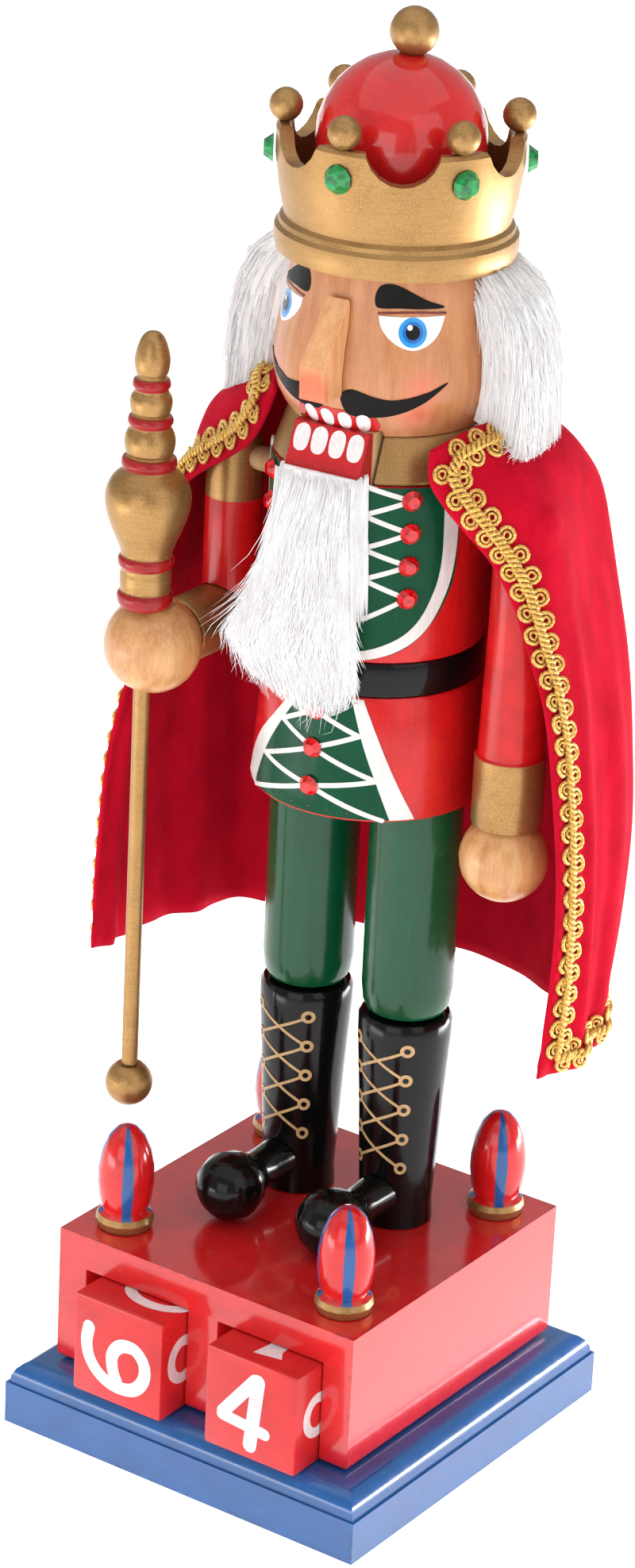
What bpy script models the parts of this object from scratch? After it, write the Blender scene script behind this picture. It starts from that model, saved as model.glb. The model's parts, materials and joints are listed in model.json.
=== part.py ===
"""Wooden nutcracker king on a perpetual countdown base.

Sizes are in millimetres and MM turns them into Blender's metres. The origin is the middle of the
plinth's underside, +Z is up and the front faces -Y. The figure has a frame of its own, on its
upright axis: x is towards the figure's left arm, y is towards its back and z is above the table.
Coat, jaw and head are turned a little about that axis, and UPPER is their frame.
"""

import math

import bmesh
import bpy
from mathutils import Matrix

MM = 0.001
GAP = 0.3                     # room between two pieces that touch

# Base
PLINTH = (120.0, 122.0, 19.5)
PLINTH_SIDE = 12.6            # height of the plinth's upright side
PLINTH_STEP = 0.8             # quirk between the side and the round above it
BOX = (100.0, 101.0)
BOX_BOTTOM = PLINTH[2] + GAP
BOX_TOP = 61.0
POCKET_WIDTH = 35.4
POCKET_DEPTH = 19.8
POCKET_TOP = 50.7
POCKET_X = 22.8               # middle of each pocket from the base's middle
EDGE_ROUND = 3.5
CUBE = 30.5
CUBE_SIDE_GAP = 0.4           # each cube stands against its pocket's right wall
FINIAL_XY = (37.5, 37.4)

# Figure
FIGURE_BACK = 17.0            # the figure's axis is this far behind the base's middle
BODY_TURN = 4.5               # degrees that coat and head are turned towards the left arm
CROWN_TURN = 5.0
STANCE = 16.8                 # half of the distance between the legs
BOOT_BOTTOM = BOX_TOP + GAP
LEG_BOTTOM = 125.4
SKIRT_BOTTOM = 189.9
BELT_BOTTOM = 225.2
TUNIC_BOTTOM = 235.2
TUNIC_TOP = 284.5
TUNIC_RADIUS = 30.3
COLLAR_TOP = 296.9
HEAD_BOTTOM = 297.2
HEAD_TOP = 342.5
CROWN_BOTTOM = 340.4
CROWN_WALL_TOP = 373.5
CROWN_BORE = 28.6
CROWN_SEAT = 27.5             # radius of the bore low down, around the head
PRONGS = 6
DOME_CENTRE = 370.4
DOME_RADIUS = 22.6
TOP_BALL_CENTRE = 398.5
TOP_BALL_RADIUS = 6.5
TOP_BALL_SHIFT = (1.6, 1.0)   # the ball is pegged a little off the dome's middle
SLOT_HALF_WIDTH = 12.4        # slot through the tunic for the jaw lever
SLOT_FLOOR = 249.0
MOUTH_TOP = 299.0
LEVER_HALF_WIDTH = 11.3
PIN_Y, PIN_Z = 5.0, 266.0
PIN_RADIUS = 2.0
ARM_X = 47.0
ARM_Y = -2.4
SHOULDER_Z = 274.0
ARM_TOP = 283.0
ELBOW_Z = 228.0
FOREARM_RADIUS = 9.2
HAND_REACH = 35.1             # from the elbow's middle to the middle of the hand
HAND_RADIUS = 13.5
SCEPTRE_REACH = 39.4
SCEPTRE_HEAD_BOTTOM = 240.2
ROD_RADIUS = 2.3
ROD_BOTTOM = 103.6
ROD_BALL_RADIUS = 6.7
DOWEL_RADIUS = 3.5
CAPE_THICKNESS = 2.4

# Turned outlines are (radius, height) from the top of the outer side to the bottom.
FINIAL = [(0, 31), (2.6, 30.3), (5.0, 27.8), (6.9, 23.4), (7.9, 18.0), (8.0, 13.6), (7.4, 8.6),
          (6.3, 5.0), (7.7, 4.0), (8.3, 2.4), (7.6, 0), (0, 0)]
BOOT = [(0, 63.7), (12.3, 63.7), (13.1, 62.4), (13.1, 57.0), (11.9, 38.0), (10.9, 17.5),
        (10.3, 6.0), (10.6, 0), (0, 0)]
TOE = [(0, 42.6), (5.0, 41.26), (8.66, 37.6), (10.0, 32.6), (8.7, 27.7), (6.8, 24.8),
       (5.8, 21.6), (5.6, 17.0), (6.2, 8.0), (0, 8.0)]
LEG = [(0, 64.2), (12.8, 64.2), (12.8, 8.0), (12.3, 3.4), (11.2, 1.0), (9.4, 0), (0, 0)]
SKIRT = [(0, 35.0), (29.6, 35.0), (30.3, 33.9), (31.0, 20.0), (32.2, 2.6), (31.7, 0.4), (0, 0)]
TUNIC = [(0, TUNIC_TOP), (29.9, TUNIC_TOP), (30.3, 283.9), (30.3, 280.0), (30.3, 238.0),
         (29.5, TUNIC_BOTTOM), (28.4, TUNIC_BOTTOM - GAP), (28.4, BELT_BOTTOM), (0, BELT_BOTTOM)]
COLLAR = [(0, COLLAR_TOP), (25.8, COLLAR_TOP), (26.4, 296.3), (29.9, 285.6),
          (29.6, TUNIC_TOP + GAP), (0, TUNIC_TOP + GAP)]
HEAD = [(0, HEAD_TOP), (26.6, HEAD_TOP), (27.0, 341.5), (27.6, 334.0), (28.6, 327.0), (30.2, 320.0),
        (31.1, 313.5), (30.9, 308.0), (29.6, 303.0), (27.6, 299.2), (26.2, HEAD_BOTTOM),
        (0, HEAD_BOTTOM)]
CROWN = [(CROWN_BORE + 0.8, CROWN_WALL_TOP), (31.9, CROWN_WALL_TOP), (32.7, 372.4), (32.6, 365.0),
         (31.4, 356.0), (29.9, 349.6), (31.0, 348.6), (31.2, 347.4), (32.2, 346.4), (32.4, 343.4),
         (31.6, CROWN_BOTTOM), (CROWN_SEAT, CROWN_BOTTOM), (CROWN_SEAT, 346.0),
         (CROWN_BORE, 356.0), (CROWN_BORE, 372.5)]
UPPER_ARM = [(0, 55.0), (4.6, 54.2), (7.2, 51.6), (8.0, 48.0), (8.0, 0), (0, 0)]
LEFT_ARM = [(0, 92.5), (4.6, 91.7), (7.2, 89.1), (8.0, 85.5), (8.1, 58.0), (9.0, 20.8),
            (9.7, 20.0), (9.7, 0.8), (9.2, 0), (0, 0)]
LEFT_HAND_TOP = ARM_TOP - 92.5 - GAP
LEFT_HAND_RADIUS = 12.3
SCEPTRE_HEAD = [(0, 77.0), (2.2, 76.2), (4.0, 72.5), (4.6, 68.5), (3.6, 64.2), (4.7, 62.6),
                (4.4, 60.6), (5.3, 57.4), (4.6, 54.8), (5.7, 52.6), (5.3, 50.6), (6.1, 45.5),
                (5.0, 42.8), (6.8, 40.6), (6.7, 38.4), (9.6, 35.6), (11.4, 31.5), (10.6, 25.0),
                (7.4, 16.0), (6.9, 14.2), (7.4, 11.8), (7.0, 9.0), (7.0, 4.2), (6.8, 0), (0, 0)]

# The hair is a ring around the back of the head, cut off at the cheeks.
HAIR = [(31.8, 339.5), (36.5, 339.5), (41.0, 332.5), (43.6, 320.0), (44.0, 306.0), (42.0, 301.0),
        (31.8, 301.0)]
HAIR_FRONT = -2.8

# Side view of the jaw lever from its pin, (y, z): jaw, arm and finger tail.
LEVER = [(-33.7, 32.6), (-25.5, 32.6), (-25.5, 18.0), (-20.0, 13.0), (23.0, 6.0), (32.5, 4.5),
         (32.5, -3.5), (2.0, -8.0), (-22.0, -4.0), (-35.0, -2.0), (-38.2, 1.0), (-38.2, 22.0)]
# Side view of the nose, (y, z).
NOSE = [(-28.9, 334.0), (-41.0, 317.8), (-40.4, 308.6), (-31.4, 308.6), (-31.5, 313.5),
        (-30.6, 320.0), (-29.0, 327.0), (-28.3, 332.0)]
NOSE_HALF_WIDTH = (3.4, 3.9)  # at the top and at the tip
# Front view of the beard, (x, z), which is combed towards the right arm.
BEARD = [(11.5, 287.0), (-11.0, 287.0), (-13.4, 275.0), (-16.1, 261.0), (-23.4, 250.0),
         (-29.5, 240.0), (-26.5, 234.0), (-14.6, 231.0), (3.7, 228.0), (13.9, 230.0),
         (17.2, 236.0), (16.1, 258.0), (14.5, 275.0)]
BEARD_BACK, BEARD_THICKNESS = -33.5, 7.5

# Level sections of the cape: height, half width, then y of the right front edge, of the left
# front edge and of the back.
CAPE = [(125.0, 71.0, -5.0, -26.0, 50.0), (155.0, 71.0, -5.0, -24.0, 49.5),
        (180.0, 70.5, -5.0, -22.0, 49.0), (210.0, 66.5, -5.0, -17.0, 48.0),
        (240.0, 63.0, -6.0, -13.0, 46.5), (262.0, 61.5, -7.0, -9.0, 45.5),
        (275.0, 60.0, -8.0, -7.0, 44.0), (282.5, 56.5, -9.0, -8.0, 42.5),
        (288.0, 49.0, -9.5, -8.5, 40.5), (291.5, 40.5, -10.0, -9.5, 38.0),
        (294.0, 32.5, -10.0, -10.0, 36.0)]
CAPE_COLUMNS = 22
CAPE_SQUARENESS = 2.4         # 2 would be an ellipse


def clear_scene():
    for old in list(bpy.data.objects):
        bpy.data.objects.remove(old, do_unlink=True)


def new_collection(name):
    made = bpy.data.collections.new(name)
    bpy.context.scene.collection.children.link(made)
    return made


def paint(name, colour, roughness, metallic=0.0):
    made = bpy.data.materials.new(name)
    made.use_nodes = True
    shader = made.node_tree.nodes["Principled BSDF"]
    shader.inputs["Base Color"].default_value = (*colour, 1.0)
    shader.inputs["Roughness"].default_value = roughness
    shader.inputs["Metallic"].default_value = metallic
    return made


def scaled(point):
    return tuple(value * MM for value in point)


def turn(x=0.0, y=0.0, z=0.0):
    return tuple(math.radians(angle) for angle in (x, y, z))


def put(name, mesh, finish, at=(0, 0, 0), rotation=(0, 0, 0), parent=None, collection=None):
    """Add a mesh or curve as a named object, at a place in millimetres under its parent."""
    made = bpy.data.objects.new(name, mesh)
    (collection or PARTS).objects.link(made)
    made.location = scaled(at)
    made.rotation_euler = rotation
    made.parent = parent
    if finish:
        mesh.materials.append(finish)
    return made


def guide(name, at, rotation=(0, 0, 0), parent=None):
    """Add an empty that other pieces are placed from."""
    made = bpy.data.objects.new(name, None)
    CUTTERS.objects.link(made)
    made.location = scaled(at)
    made.rotation_euler = rotation
    made.parent = parent
    return made


def mesh_from(name, bm):
    mesh = bpy.data.meshes.new(name)
    bm.to_mesh(mesh)
    bm.free()
    return mesh


def smooth(mesh, angle=35.0):
    mesh.shade_smooth()
    mesh.set_sharp_from_angle(angle=math.radians(angle))


def block_mesh(name, size, centre=(0, 0, 0)):
    bm = bmesh.new()
    bmesh.ops.create_cube(bm, size=1.0)
    bmesh.ops.scale(bm, vec=scaled(size), verts=bm.verts)
    bmesh.ops.translate(bm, vec=scaled(centre), verts=bm.verts)
    return mesh_from(name, bm)


def rod_mesh(name, radius, length, sides=16, centre=(0, 0, 0)):
    bm = bmesh.new()
    bmesh.ops.create_cone(bm, cap_ends=True, segments=sides, radius1=radius * MM,
                          radius2=radius * MM, depth=length * MM)
    bmesh.ops.translate(bm, vec=scaled(centre), verts=bm.verts)
    mesh = mesh_from(name, bm)
    smooth(mesh)
    return mesh


def ball_mesh(name, radius, segments=20, rings=12):
    bm = bmesh.new()
    bmesh.ops.create_uvsphere(bm, u_segments=segments, v_segments=rings, radius=radius * MM)
    mesh = mesh_from(name, bm)
    smooth(mesh)
    return mesh


def turned(name, outline, finish, steps=24, closed=False, base=0.0, **place):
    """Turn an outline of (radius, height) about the object's Z axis."""
    bm = bmesh.new()
    ring = [bm.verts.new((radius * MM, 0, (height - base) * MM)) for radius, height in outline]
    for start, end in zip(ring, ring[1:] + ring[:1] if closed else ring[1:]):
        bm.edges.new((start, end))
    made = put(name, mesh_from(name, bm), finish, **place)
    screw = made.modifiers.new("turn", "SCREW")
    screw.steps = screw.render_steps = steps
    screw.use_merge_vertices = True
    screw.merge_threshold = 0.00001
    screw.use_smooth_shade = True
    return made


def hide(cutter):
    cutter.hide_render = True
    cutter.display_type = "WIRE"
    return cutter


def cutting_tool(name, mesh, at=(0, 0, 0), rotation=(0, 0, 0), parent=None):
    return hide(put(name, mesh, None, at, rotation, parent, CUTTERS))


def combine(piece, tool, operation="DIFFERENCE"):
    boolean = piece.modifiers.new(operation.lower(), "BOOLEAN")
    boolean.operation = operation
    boolean.object = tool
    boolean.solver = "EXACT"


def drill(piece, radius, length, at, rotation=(0, 0, 0), parent=None, sides=16):
    mesh = rod_mesh(f"{piece.name}_drill", radius, length, sides)
    combine(piece, cutting_tool(mesh.name, mesh, at, rotation, parent))


def evaluated_copy(piece):
    """Replace a piece by the mesh that its curve or modifiers make."""
    bpy.context.view_layer.update()
    graph = bpy.context.evaluated_depsgraph_get()
    mesh = bpy.data.meshes.new_from_object(piece.evaluated_get(graph))
    bm = bmesh.new()
    bm.from_mesh(mesh)
    bmesh.ops.remove_doubles(bm, verts=bm.verts, dist=0.00001)
    bmesh.ops.recalc_face_normals(bm, faces=bm.faces)
    bm.to_mesh(mesh)
    bm.free()
    name, place, parent = piece.name, piece.matrix_world.copy(), piece.parent
    bpy.data.objects.remove(piece, do_unlink=True)
    made = bpy.data.objects.new(name, mesh)
    PARTS.objects.link(made)
    made.parent = parent
    made.matrix_world = place
    return made


def board(name, outline, half_thickness, finish, **place):
    """Cut a board from a flat outline, drawn in the object's XY plane."""
    curve = bpy.data.curves.new(name, "CURVE")
    curve.dimensions = "2D"
    curve.fill_mode = "BOTH"
    curve.extrude = half_thickness * MM
    spline = curve.splines.new("POLY")
    spline.points.add(len(outline) - 1)
    for point, (across, up) in zip(spline.points, outline):
        point.co = (across * MM, up * MM, 0, 1)
    spline.use_cyclic_u = True
    return evaluated_copy(put(name, curve, finish, **place))


def round_edges(piece, width, segments=2):
    bevel = piece.modifiers.new("round", "BEVEL")
    bevel.width = width * MM
    bevel.segments = segments
    bevel.limit_method = "ANGLE"
    bevel.angle_limit = math.radians(40)


def bevel_edges(mesh, chosen, width, segments=3):
    """Round only the edges for which chosen(first end, second end) is true."""
    bm = bmesh.new()
    bm.from_mesh(mesh)
    edges = [edge for edge in bm.edges if chosen(edge.verts[0].co / MM, edge.verts[1].co / MM)]
    bmesh.ops.bevel(bm, geom=edges, offset=width * MM, segments=segments, profile=0.5,
                    affect="EDGES", clamp_overlap=True)
    bm.to_mesh(mesh)
    bm.free()


# ---------------------------------------------------------------- base

def plinth():
    width, depth, height = PLINTH
    low = 6.0
    mesh = block_mesh("plinth", (width, depth, PLINTH_SIDE), (0, 0, PLINTH_SIDE / 2))
    slab = put("plinth", mesh, BLUE)
    inner = (width - 2 * PLINTH_STEP, depth - 2 * PLINTH_STEP, height - low)
    round_top = block_mesh("plinth_round", inner, (0, 0, (height + low) / 2))
    bevel_edges(round_top, lambda a, b: min(a.z, b.z) > height - 0.1, height - PLINTH_SIDE, 5)
    combine(slab, cutting_tool("plinth_round", round_top), "UNION")


def calendar_box():
    width, depth = BOX
    height = BOX_TOP - BOX_BOTTOM
    mesh = block_mesh("calendar_box", (width, depth, height), (0, 0, BOX_BOTTOM + height / 2))
    bevel_edges(mesh, lambda a, b: max(a.z, b.z) < BOX_BOTTOM + 0.1, 2.4)
    box = put("calendar_box", mesh, RED)
    for side in (-1, 1):
        size = (POCKET_WIDTH, 2 * POCKET_DEPTH, 2 * (POCKET_TOP - BOX_BOTTOM))
        pocket = block_mesh("pocket", size, (side * POCKET_X, -depth / 2, BOX_BOTTOM))
        combine(box, cutting_tool("pocket", pocket))
    box = evaluated_copy(box)

    def pocket_edge(a, b):
        on_front = max(a.y, b.y) < -depth / 2 + 0.1
        on_mouth = max(abs(abs(end.x) - POCKET_X) for end in (a, b)) < POCKET_WIDTH / 2 + 0.1
        return on_front and on_mouth and min(a.z, b.z) > BOX_BOTTOM - 0.1 and max(a.z, b.z) > 40

    bevel_edges(box.data, pocket_edge, EDGE_ROUND)
    for side in (-1, 1):
        drill(box, DOWEL_RADIUS + GAP, 2 * (BOX_TOP - 47.7), (side * STANCE, 0, BOX_TOP),
              parent=FIGURE)


def number_cube(name, pocket_side):
    right_wall = pocket_side * POCKET_X + POCKET_WIDTH / 2
    at = (right_wall - CUBE_SIDE_GAP - CUBE / 2,
          -BOX[1] / 2 + POCKET_DEPTH - GAP - CUBE / 2,
          PLINTH[2] + GAP + CUBE / 2)
    cube = put(name, block_mesh(name, (CUBE, CUBE, CUBE)), RED, at)
    round_edges(cube, 1.0)


def finials():
    for across, side in ((-1, "right"), (1, "left")):
        for along, end in ((-1, "front"), (1, "back")):
            at = (across * FINIAL_XY[0], along * FINIAL_XY[1], BOX_TOP + GAP)
            turned(f"finial_{end}_{side}", FINIAL, RED, 16, at=at)


# ---------------------------------------------------------------- legs

def leg(name, side):
    x = side * STANCE
    bore = DOWEL_RADIUS + GAP
    boot = turned(f"boot_{name}", BOOT, BLACK, 24, at=(x, 0, BOOT_BOTTOM), parent=FIGURE)
    drill(boot, bore, 80, (x, 0, BOOT_BOTTOM + 32), parent=FIGURE)
    toe = turned(f"boot_toe_{name}", TOE, BLACK, 20, at=(x * 1.02, 0, BOX_TOP + GAP + 10.0),
                 rotation=turn(x=90), parent=FIGURE)
    drill(toe, 11.3, 40, (x, 0, 71.3), parent=FIGURE, sides=32)
    trouser = turned(f"trouser_leg_{name}", LEG, GREEN, 24, at=(x, 0, LEG_BOTTOM), parent=FIGURE)
    drill(trouser, bore, 80, (x, 0, LEG_BOTTOM + 32), parent=FIGURE)
    low, high = 48.0, 205.0
    put(f"leg_dowel_{name}", rod_mesh("leg_dowel", DOWEL_RADIUS, high - low, 12), WOOD,
        (x, 0, (low + high) / 2), parent=FIGURE)


# ---------------------------------------------------------------- body

def skirt():
    body = turned("coat_skirt", SKIRT, RED, 36, at=(0, 0, SKIRT_BOTTOM), parent=UPPER)
    for side in (-1, 1):
        drill(body, DOWEL_RADIUS + GAP, 30, (side * STANCE, 0, 190.3), parent=FIGURE)


def belt():
    inner, outer = 28.4 + GAP, 29.6
    top = TUNIC_BOTTOM - 2 * GAP
    outline = [(inner, top), (outer - 0.2, top), (outer, top - 0.4),
               (outer, BELT_BOTTOM + 0.4), (outer - 0.2, BELT_BOTTOM), (inner, BELT_BOTTOM)]
    turned("belt", outline, BLACK, 36, closed=True, parent=FIGURE)


def tunic():
    body = turned("tunic", TUNIC, RED, 36, parent=UPPER)
    slot_top = 300.0
    slot = block_mesh("lever_slot", (2 * SLOT_HALF_WIDTH, 80, slot_top - SLOT_FLOOR),
                      (0, 0, (slot_top + SLOT_FLOOR) / 2))
    combine(body, cutting_tool("lever_slot", slot, parent=UPPER))
    drill(body, PIN_RADIUS + GAP, 80, (0, PIN_Y, PIN_Z), turn(y=90), UPPER, 12)
    for side in (-1, 1):
        drill(body, DOWEL_RADIUS + GAP, 16, (side * 28.2, ARM_Y, SHOULDER_Z), turn(y=90), FIGURE,
              12)


def collar():
    ring = turned("collar", COLLAR, GOLD, 36, parent=UPPER)
    notch = block_mesh("jaw_notch", (2 * SLOT_HALF_WIDTH, 40, 30), (0, -31, 290))
    combine(ring, cutting_tool("jaw_notch", notch, parent=UPPER))
    drill(ring, 5 + GAP, 20, (0, 5, 297.7), parent=FIGURE)


def jaw():
    """Jaw, lever and finger tail are one board, which turns on a pin through the tunic."""
    hinge = guide("jaw_hinge", (0, PIN_Y, PIN_Z), parent=UPPER)
    lever = board("jaw_lever", LEVER, LEVER_HALF_WIDTH, WOOD, rotation=turn(90, 0, 90),
                  parent=hinge)
    drill(lever, PIN_RADIUS + GAP, 60, (0, 0, 0), turn(y=90), hinge, 12)
    put("jaw_pin", rod_mesh("jaw_pin", PIN_RADIUS, 54, 12), STEEL, (0, PIN_Y, PIN_Z),
        turn(y=90), UPPER)
    outline = [(x, z - PIN_Z) for x, z in BEARD]
    middle = BEARD_BACK - BEARD_THICKNESS / 2 - PIN_Y
    beard = board("beard", outline, BEARD_THICKNESS / 2, FUR, at=(0, middle, 0),
                  rotation=turn(x=90), parent=hinge)
    round_edges(beard, 1.6)


# ---------------------------------------------------------------- head

def head():
    block = turned("head", HEAD, FLESH, 36, parent=UPPER)
    mouth = block_mesh("mouth", (2 * SLOT_HALF_WIDTH, 40, 2 * (MOUTH_TOP - HEAD_BOTTOM)),
                       (0, -31, HEAD_BOTTOM))
    combine(block, cutting_tool("mouth", mouth, parent=UPPER))
    drill(block, 5 + GAP, 40, (0, 5, 292.6), parent=FIGURE)
    put("neck_dowel", rod_mesh("neck_dowel", 5, 24, 12), WOOD, (0, 5, 300), parent=FIGURE)


def nose():
    wedge = board("nose", NOSE, NOSE_HALF_WIDTH[1], FLESH, rotation=turn(90, 0, 90),
                  parent=UPPER)
    top, tip = NOSE[0][1], NOSE[2][1]
    for vertex in wedge.data.vertices:
        share = (vertex.co.y / MM - tip) / (top - tip)
        narrow = 1 + (NOSE_HALF_WIDTH[0] / NOSE_HALF_WIDTH[1] - 1) * min(max(share, 0), 1)
        vertex.co.z *= narrow
    round_edges(wedge, 0.3, 1)


def hair():
    ring = turned("hair", HAIR, FUR, 28, closed=True, parent=FIGURE)
    face = block_mesh("hair_front", (120, 60, 80), (0, HAIR_FRONT - 30, 320))
    combine(ring, cutting_tool("hair_front", face, parent=FIGURE))


def crown():
    ring = turned("crown", CROWN, GOLD, 42, closed=True, parent=FIGURE)
    valley_radius, valley_bottom = 9.9, 365.5
    for step in range(PRONGS):
        valley = rod_mesh("crown_valley", valley_radius, 20, 20)
        valley.transform(Matrix.Rotation(math.radians(90), 4, "Y"))
        valley.transform(Matrix.Translation(scaled((30.0, 0, valley_bottom + valley_radius))))
        angle = turn(z=360 / PRONGS * step + CROWN_TURN)
        combine(ring, cutting_tool("crown_valley", valley, rotation=angle, parent=FIGURE))
    bm = bmesh.new()
    for step in range(PRONGS):
        angle = math.radians(360 / PRONGS * (step + 0.5) + CROWN_TURN)
        at = (30.3 * math.cos(angle), 30.3 * math.sin(angle), 377.7)
        bmesh.ops.create_uvsphere(bm, u_segments=14, v_segments=9, radius=4.5 * MM,
                                  matrix=Matrix.Translation(scaled(at)))
    beads = cutting_tool("crown_beads", mesh_from("crown_beads", bm), parent=FIGURE)
    combine(ring, beads, "UNION")


def dome():
    steps = 7
    outline = [(0, DOME_CENTRE + DOME_RADIUS)]
    for step in range(1, steps + 1):
        angle = math.radians(90 * step / steps)
        outline.append((DOME_RADIUS * math.sin(angle), DOME_CENTRE + DOME_RADIUS * math.cos(angle)))
    outline += [(DOME_RADIUS, HEAD_TOP + GAP), (0, HEAD_TOP + GAP)]
    turned("crown_dome", outline, RED, 32, parent=FIGURE)
    ball = put("crown_top_ball", ball_mesh("crown_top_ball", TOP_BALL_RADIUS), GOLD,
               (*TOP_BALL_SHIFT, TOP_BALL_CENTRE), parent=FIGURE)
    seat = ball_mesh("dome_seat", DOME_RADIUS + GAP, 32, 24)
    combine(ball, cutting_tool("dome_seat", seat, (0, 0, DOME_CENTRE), parent=FIGURE))


def gem(name, radius, height, distance, angle, z, finish, lean=0.0):
    """Add a cut stone, angle degrees round from the front, with its flat back on the body."""
    bm = bmesh.new()
    bmesh.ops.create_cone(bm, cap_ends=True, segments=10, radius1=radius * MM,
                          radius2=radius * 0.55 * MM, depth=height * MM)
    bmesh.ops.translate(bm, vec=(0, 0, height / 2 * MM), verts=bm.verts)
    way = math.radians(angle)
    at = (distance * math.sin(way), -distance * math.cos(way), z)
    put(name, mesh_from(name, bm), finish, at, turn(90 - lean, 0, angle), UPPER)


def gems():
    for step in range(PRONGS):
        angle = 360 / PRONGS * step + CROWN_TURN - BODY_TURN
        gem(f"crown_gem_{step + 1}", 4.0, 2.6, 33.1, angle, 366.0, GREEN_GLASS)
    for side, name in ((-1, "right"), (1, "left")):
        for row in range(4):
            gem(f"tunic_gem_{name}_{row + 1}", 2.9, 1.8, TUNIC_RADIUS + 0.5, side * 44,
                281.0 - 9.1 * row, RED_GLASS)
    for row, distance in enumerate((30.9, 31.5, 32.4)):
        gem(f"skirt_gem_{row + 1}", 2.9, 1.8, distance, 0, 219.9 - 10.7 * row, RED_GLASS, -3)


# ---------------------------------------------------------------- arms and sceptre

def shoulder_dowel(name, side):
    inner, outer = 20.6, ARM_X + 2.0
    put(f"shoulder_dowel_{name}", rod_mesh("shoulder_dowel", DOWEL_RADIUS, outer - inner, 12),
        WOOD, (side * (inner + outer) / 2, ARM_Y, SHOULDER_Z), turn(y=90), FIGURE)


def drill_shoulder(arm, side):
    drill(arm, DOWEL_RADIUS + GAP, 16, (side * (ARM_X - 5.7), ARM_Y, SHOULDER_Z), turn(y=90),
          FIGURE, 12)


def right_arm():
    elbow = guide("right_elbow", (-ARM_X, ARM_Y, ELBOW_Z), parent=FIGURE)
    upper = turned("upper_arm_right", UPPER_ARM, RED, 24, parent=elbow)
    saddle = rod_mesh("elbow_saddle", FOREARM_RADIUS + GAP, 60, 32)
    combine(upper, cutting_tool("elbow_saddle", saddle, rotation=turn(x=90), parent=elbow))
    drill_shoulder(upper, -1)
    hand_flat = 24.1
    outline = [(0, hand_flat - GAP), (8.7, hand_flat - GAP), (FOREARM_RADIUS, 23.0),
               (FOREARM_RADIUS, -6.0), (7.6, -9.0), (0, -9.8)]
    turned("forearm_right", outline, GOLD, 24, rotation=turn(x=90), parent=elbow)
    hand = put("hand_right", ball_mesh("hand_right", HAND_RADIUS, 24, 14), FLESH,
               (0, -HAND_REACH, 0), parent=elbow)
    wrist = block_mesh("wrist_flat", (40, 20, 40), (0, 10 - hand_flat, 0))
    combine(hand, cutting_tool("wrist_flat", wrist, parent=elbow))
    top_flat = SCEPTRE_HEAD_BOTTOM - GAP - ELBOW_Z
    top = block_mesh("hand_top_flat", (40, 80, 20), (0, -HAND_REACH, top_flat + 10))
    combine(hand, cutting_tool("hand_top_flat", top, parent=elbow))
    drill(hand, ROD_RADIUS + GAP, 60, (0, -SCEPTRE_REACH, 0), parent=elbow)
    sceptre(elbow)


def sceptre(elbow):
    slide = guide("sceptre_slide", (0, -SCEPTRE_REACH, 0), parent=elbow)
    top = turned("sceptre_head", SCEPTRE_HEAD, GOLD, 20, at=(0, 0, SCEPTRE_HEAD_BOTTOM - ELBOW_Z),
                 parent=slide)
    socket_top = SCEPTRE_HEAD_BOTTOM + 10
    drill(top, ROD_RADIUS + GAP, 22, (0, 0, SCEPTRE_HEAD_BOTTOM - 0.5 - ELBOW_Z), parent=slide,
          sides=12)
    low, high = ROD_BOTTOM, socket_top
    put("sceptre_rod", rod_mesh("sceptre_rod", ROD_RADIUS, high - low, 12), GOLD,
        (0, 0, (low + high) / 2 - ELBOW_Z), parent=slide)
    centre = ROD_BOTTOM - GAP - 5.6
    ball = put("sceptre_ball", ball_mesh("sceptre_ball", ROD_BALL_RADIUS), GOLD,
               (0, 0, centre - ELBOW_Z), parent=slide)
    top_flat = block_mesh("ball_flat", (20, 20, 10), (0, 0, ROD_BOTTOM - GAP + 5 - ELBOW_Z))
    combine(ball, cutting_tool("ball_flat", top_flat, parent=slide))


def left_arm():
    base = ARM_TOP - 92.5
    arm = turned("arm_left", LEFT_ARM, RED, 24, at=(ARM_X, ARM_Y, base), parent=FIGURE)
    drill_shoulder(arm, 1)
    centre = LEFT_HAND_TOP - 9.6
    hand = put("hand_left", ball_mesh("hand_left", LEFT_HAND_RADIUS, 24, 14), FLESH,
               (ARM_X, ARM_Y, centre), parent=FIGURE)
    flat = block_mesh("hand_left_flat", (40, 40, 10), (ARM_X, ARM_Y, LEFT_HAND_TOP + 5))
    combine(hand, cutting_tool("hand_left_flat", flat, parent=FIGURE))


# ---------------------------------------------------------------- cape

def cape():
    """Level sections, each half of a squared ellipse open at the front, joined into one skin."""
    rows = len(CAPE)
    bm = bmesh.new()
    bmesh.ops.create_grid(bm, x_segments=CAPE_COLUMNS, y_segments=rows - 1, size=1.0)
    power = 2 / CAPE_SQUARENESS
    for vertex in bm.verts:
        row = round((vertex.co.y + 1) / 2 * (rows - 1))
        z, half_width, front_left, front_right, back = CAPE[row]
        angle = math.pi * (vertex.co.x + 1) / 2
        cosine, sine = math.cos(angle), max(math.sin(angle), 0)
        x = math.copysign(abs(cosine) ** power, cosine) * half_width
        front = front_left if cosine > 0 else front_right
        y = front + (back - front) * sine ** power
        vertex.co = scaled((x, y, z))
    bmesh.ops.recalc_face_normals(bm, faces=bm.faces)
    skin = put("cape", mesh_from("cape", bm), VELVET, parent=FIGURE)
    smooth(skin.data, 60)
    solidify = skin.modifiers.new("cloth", "SOLIDIFY")
    solidify.thickness = CAPE_THICKNESS * MM
    solidify.offset = -1.0
    solidify.use_even_offset = True


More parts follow.
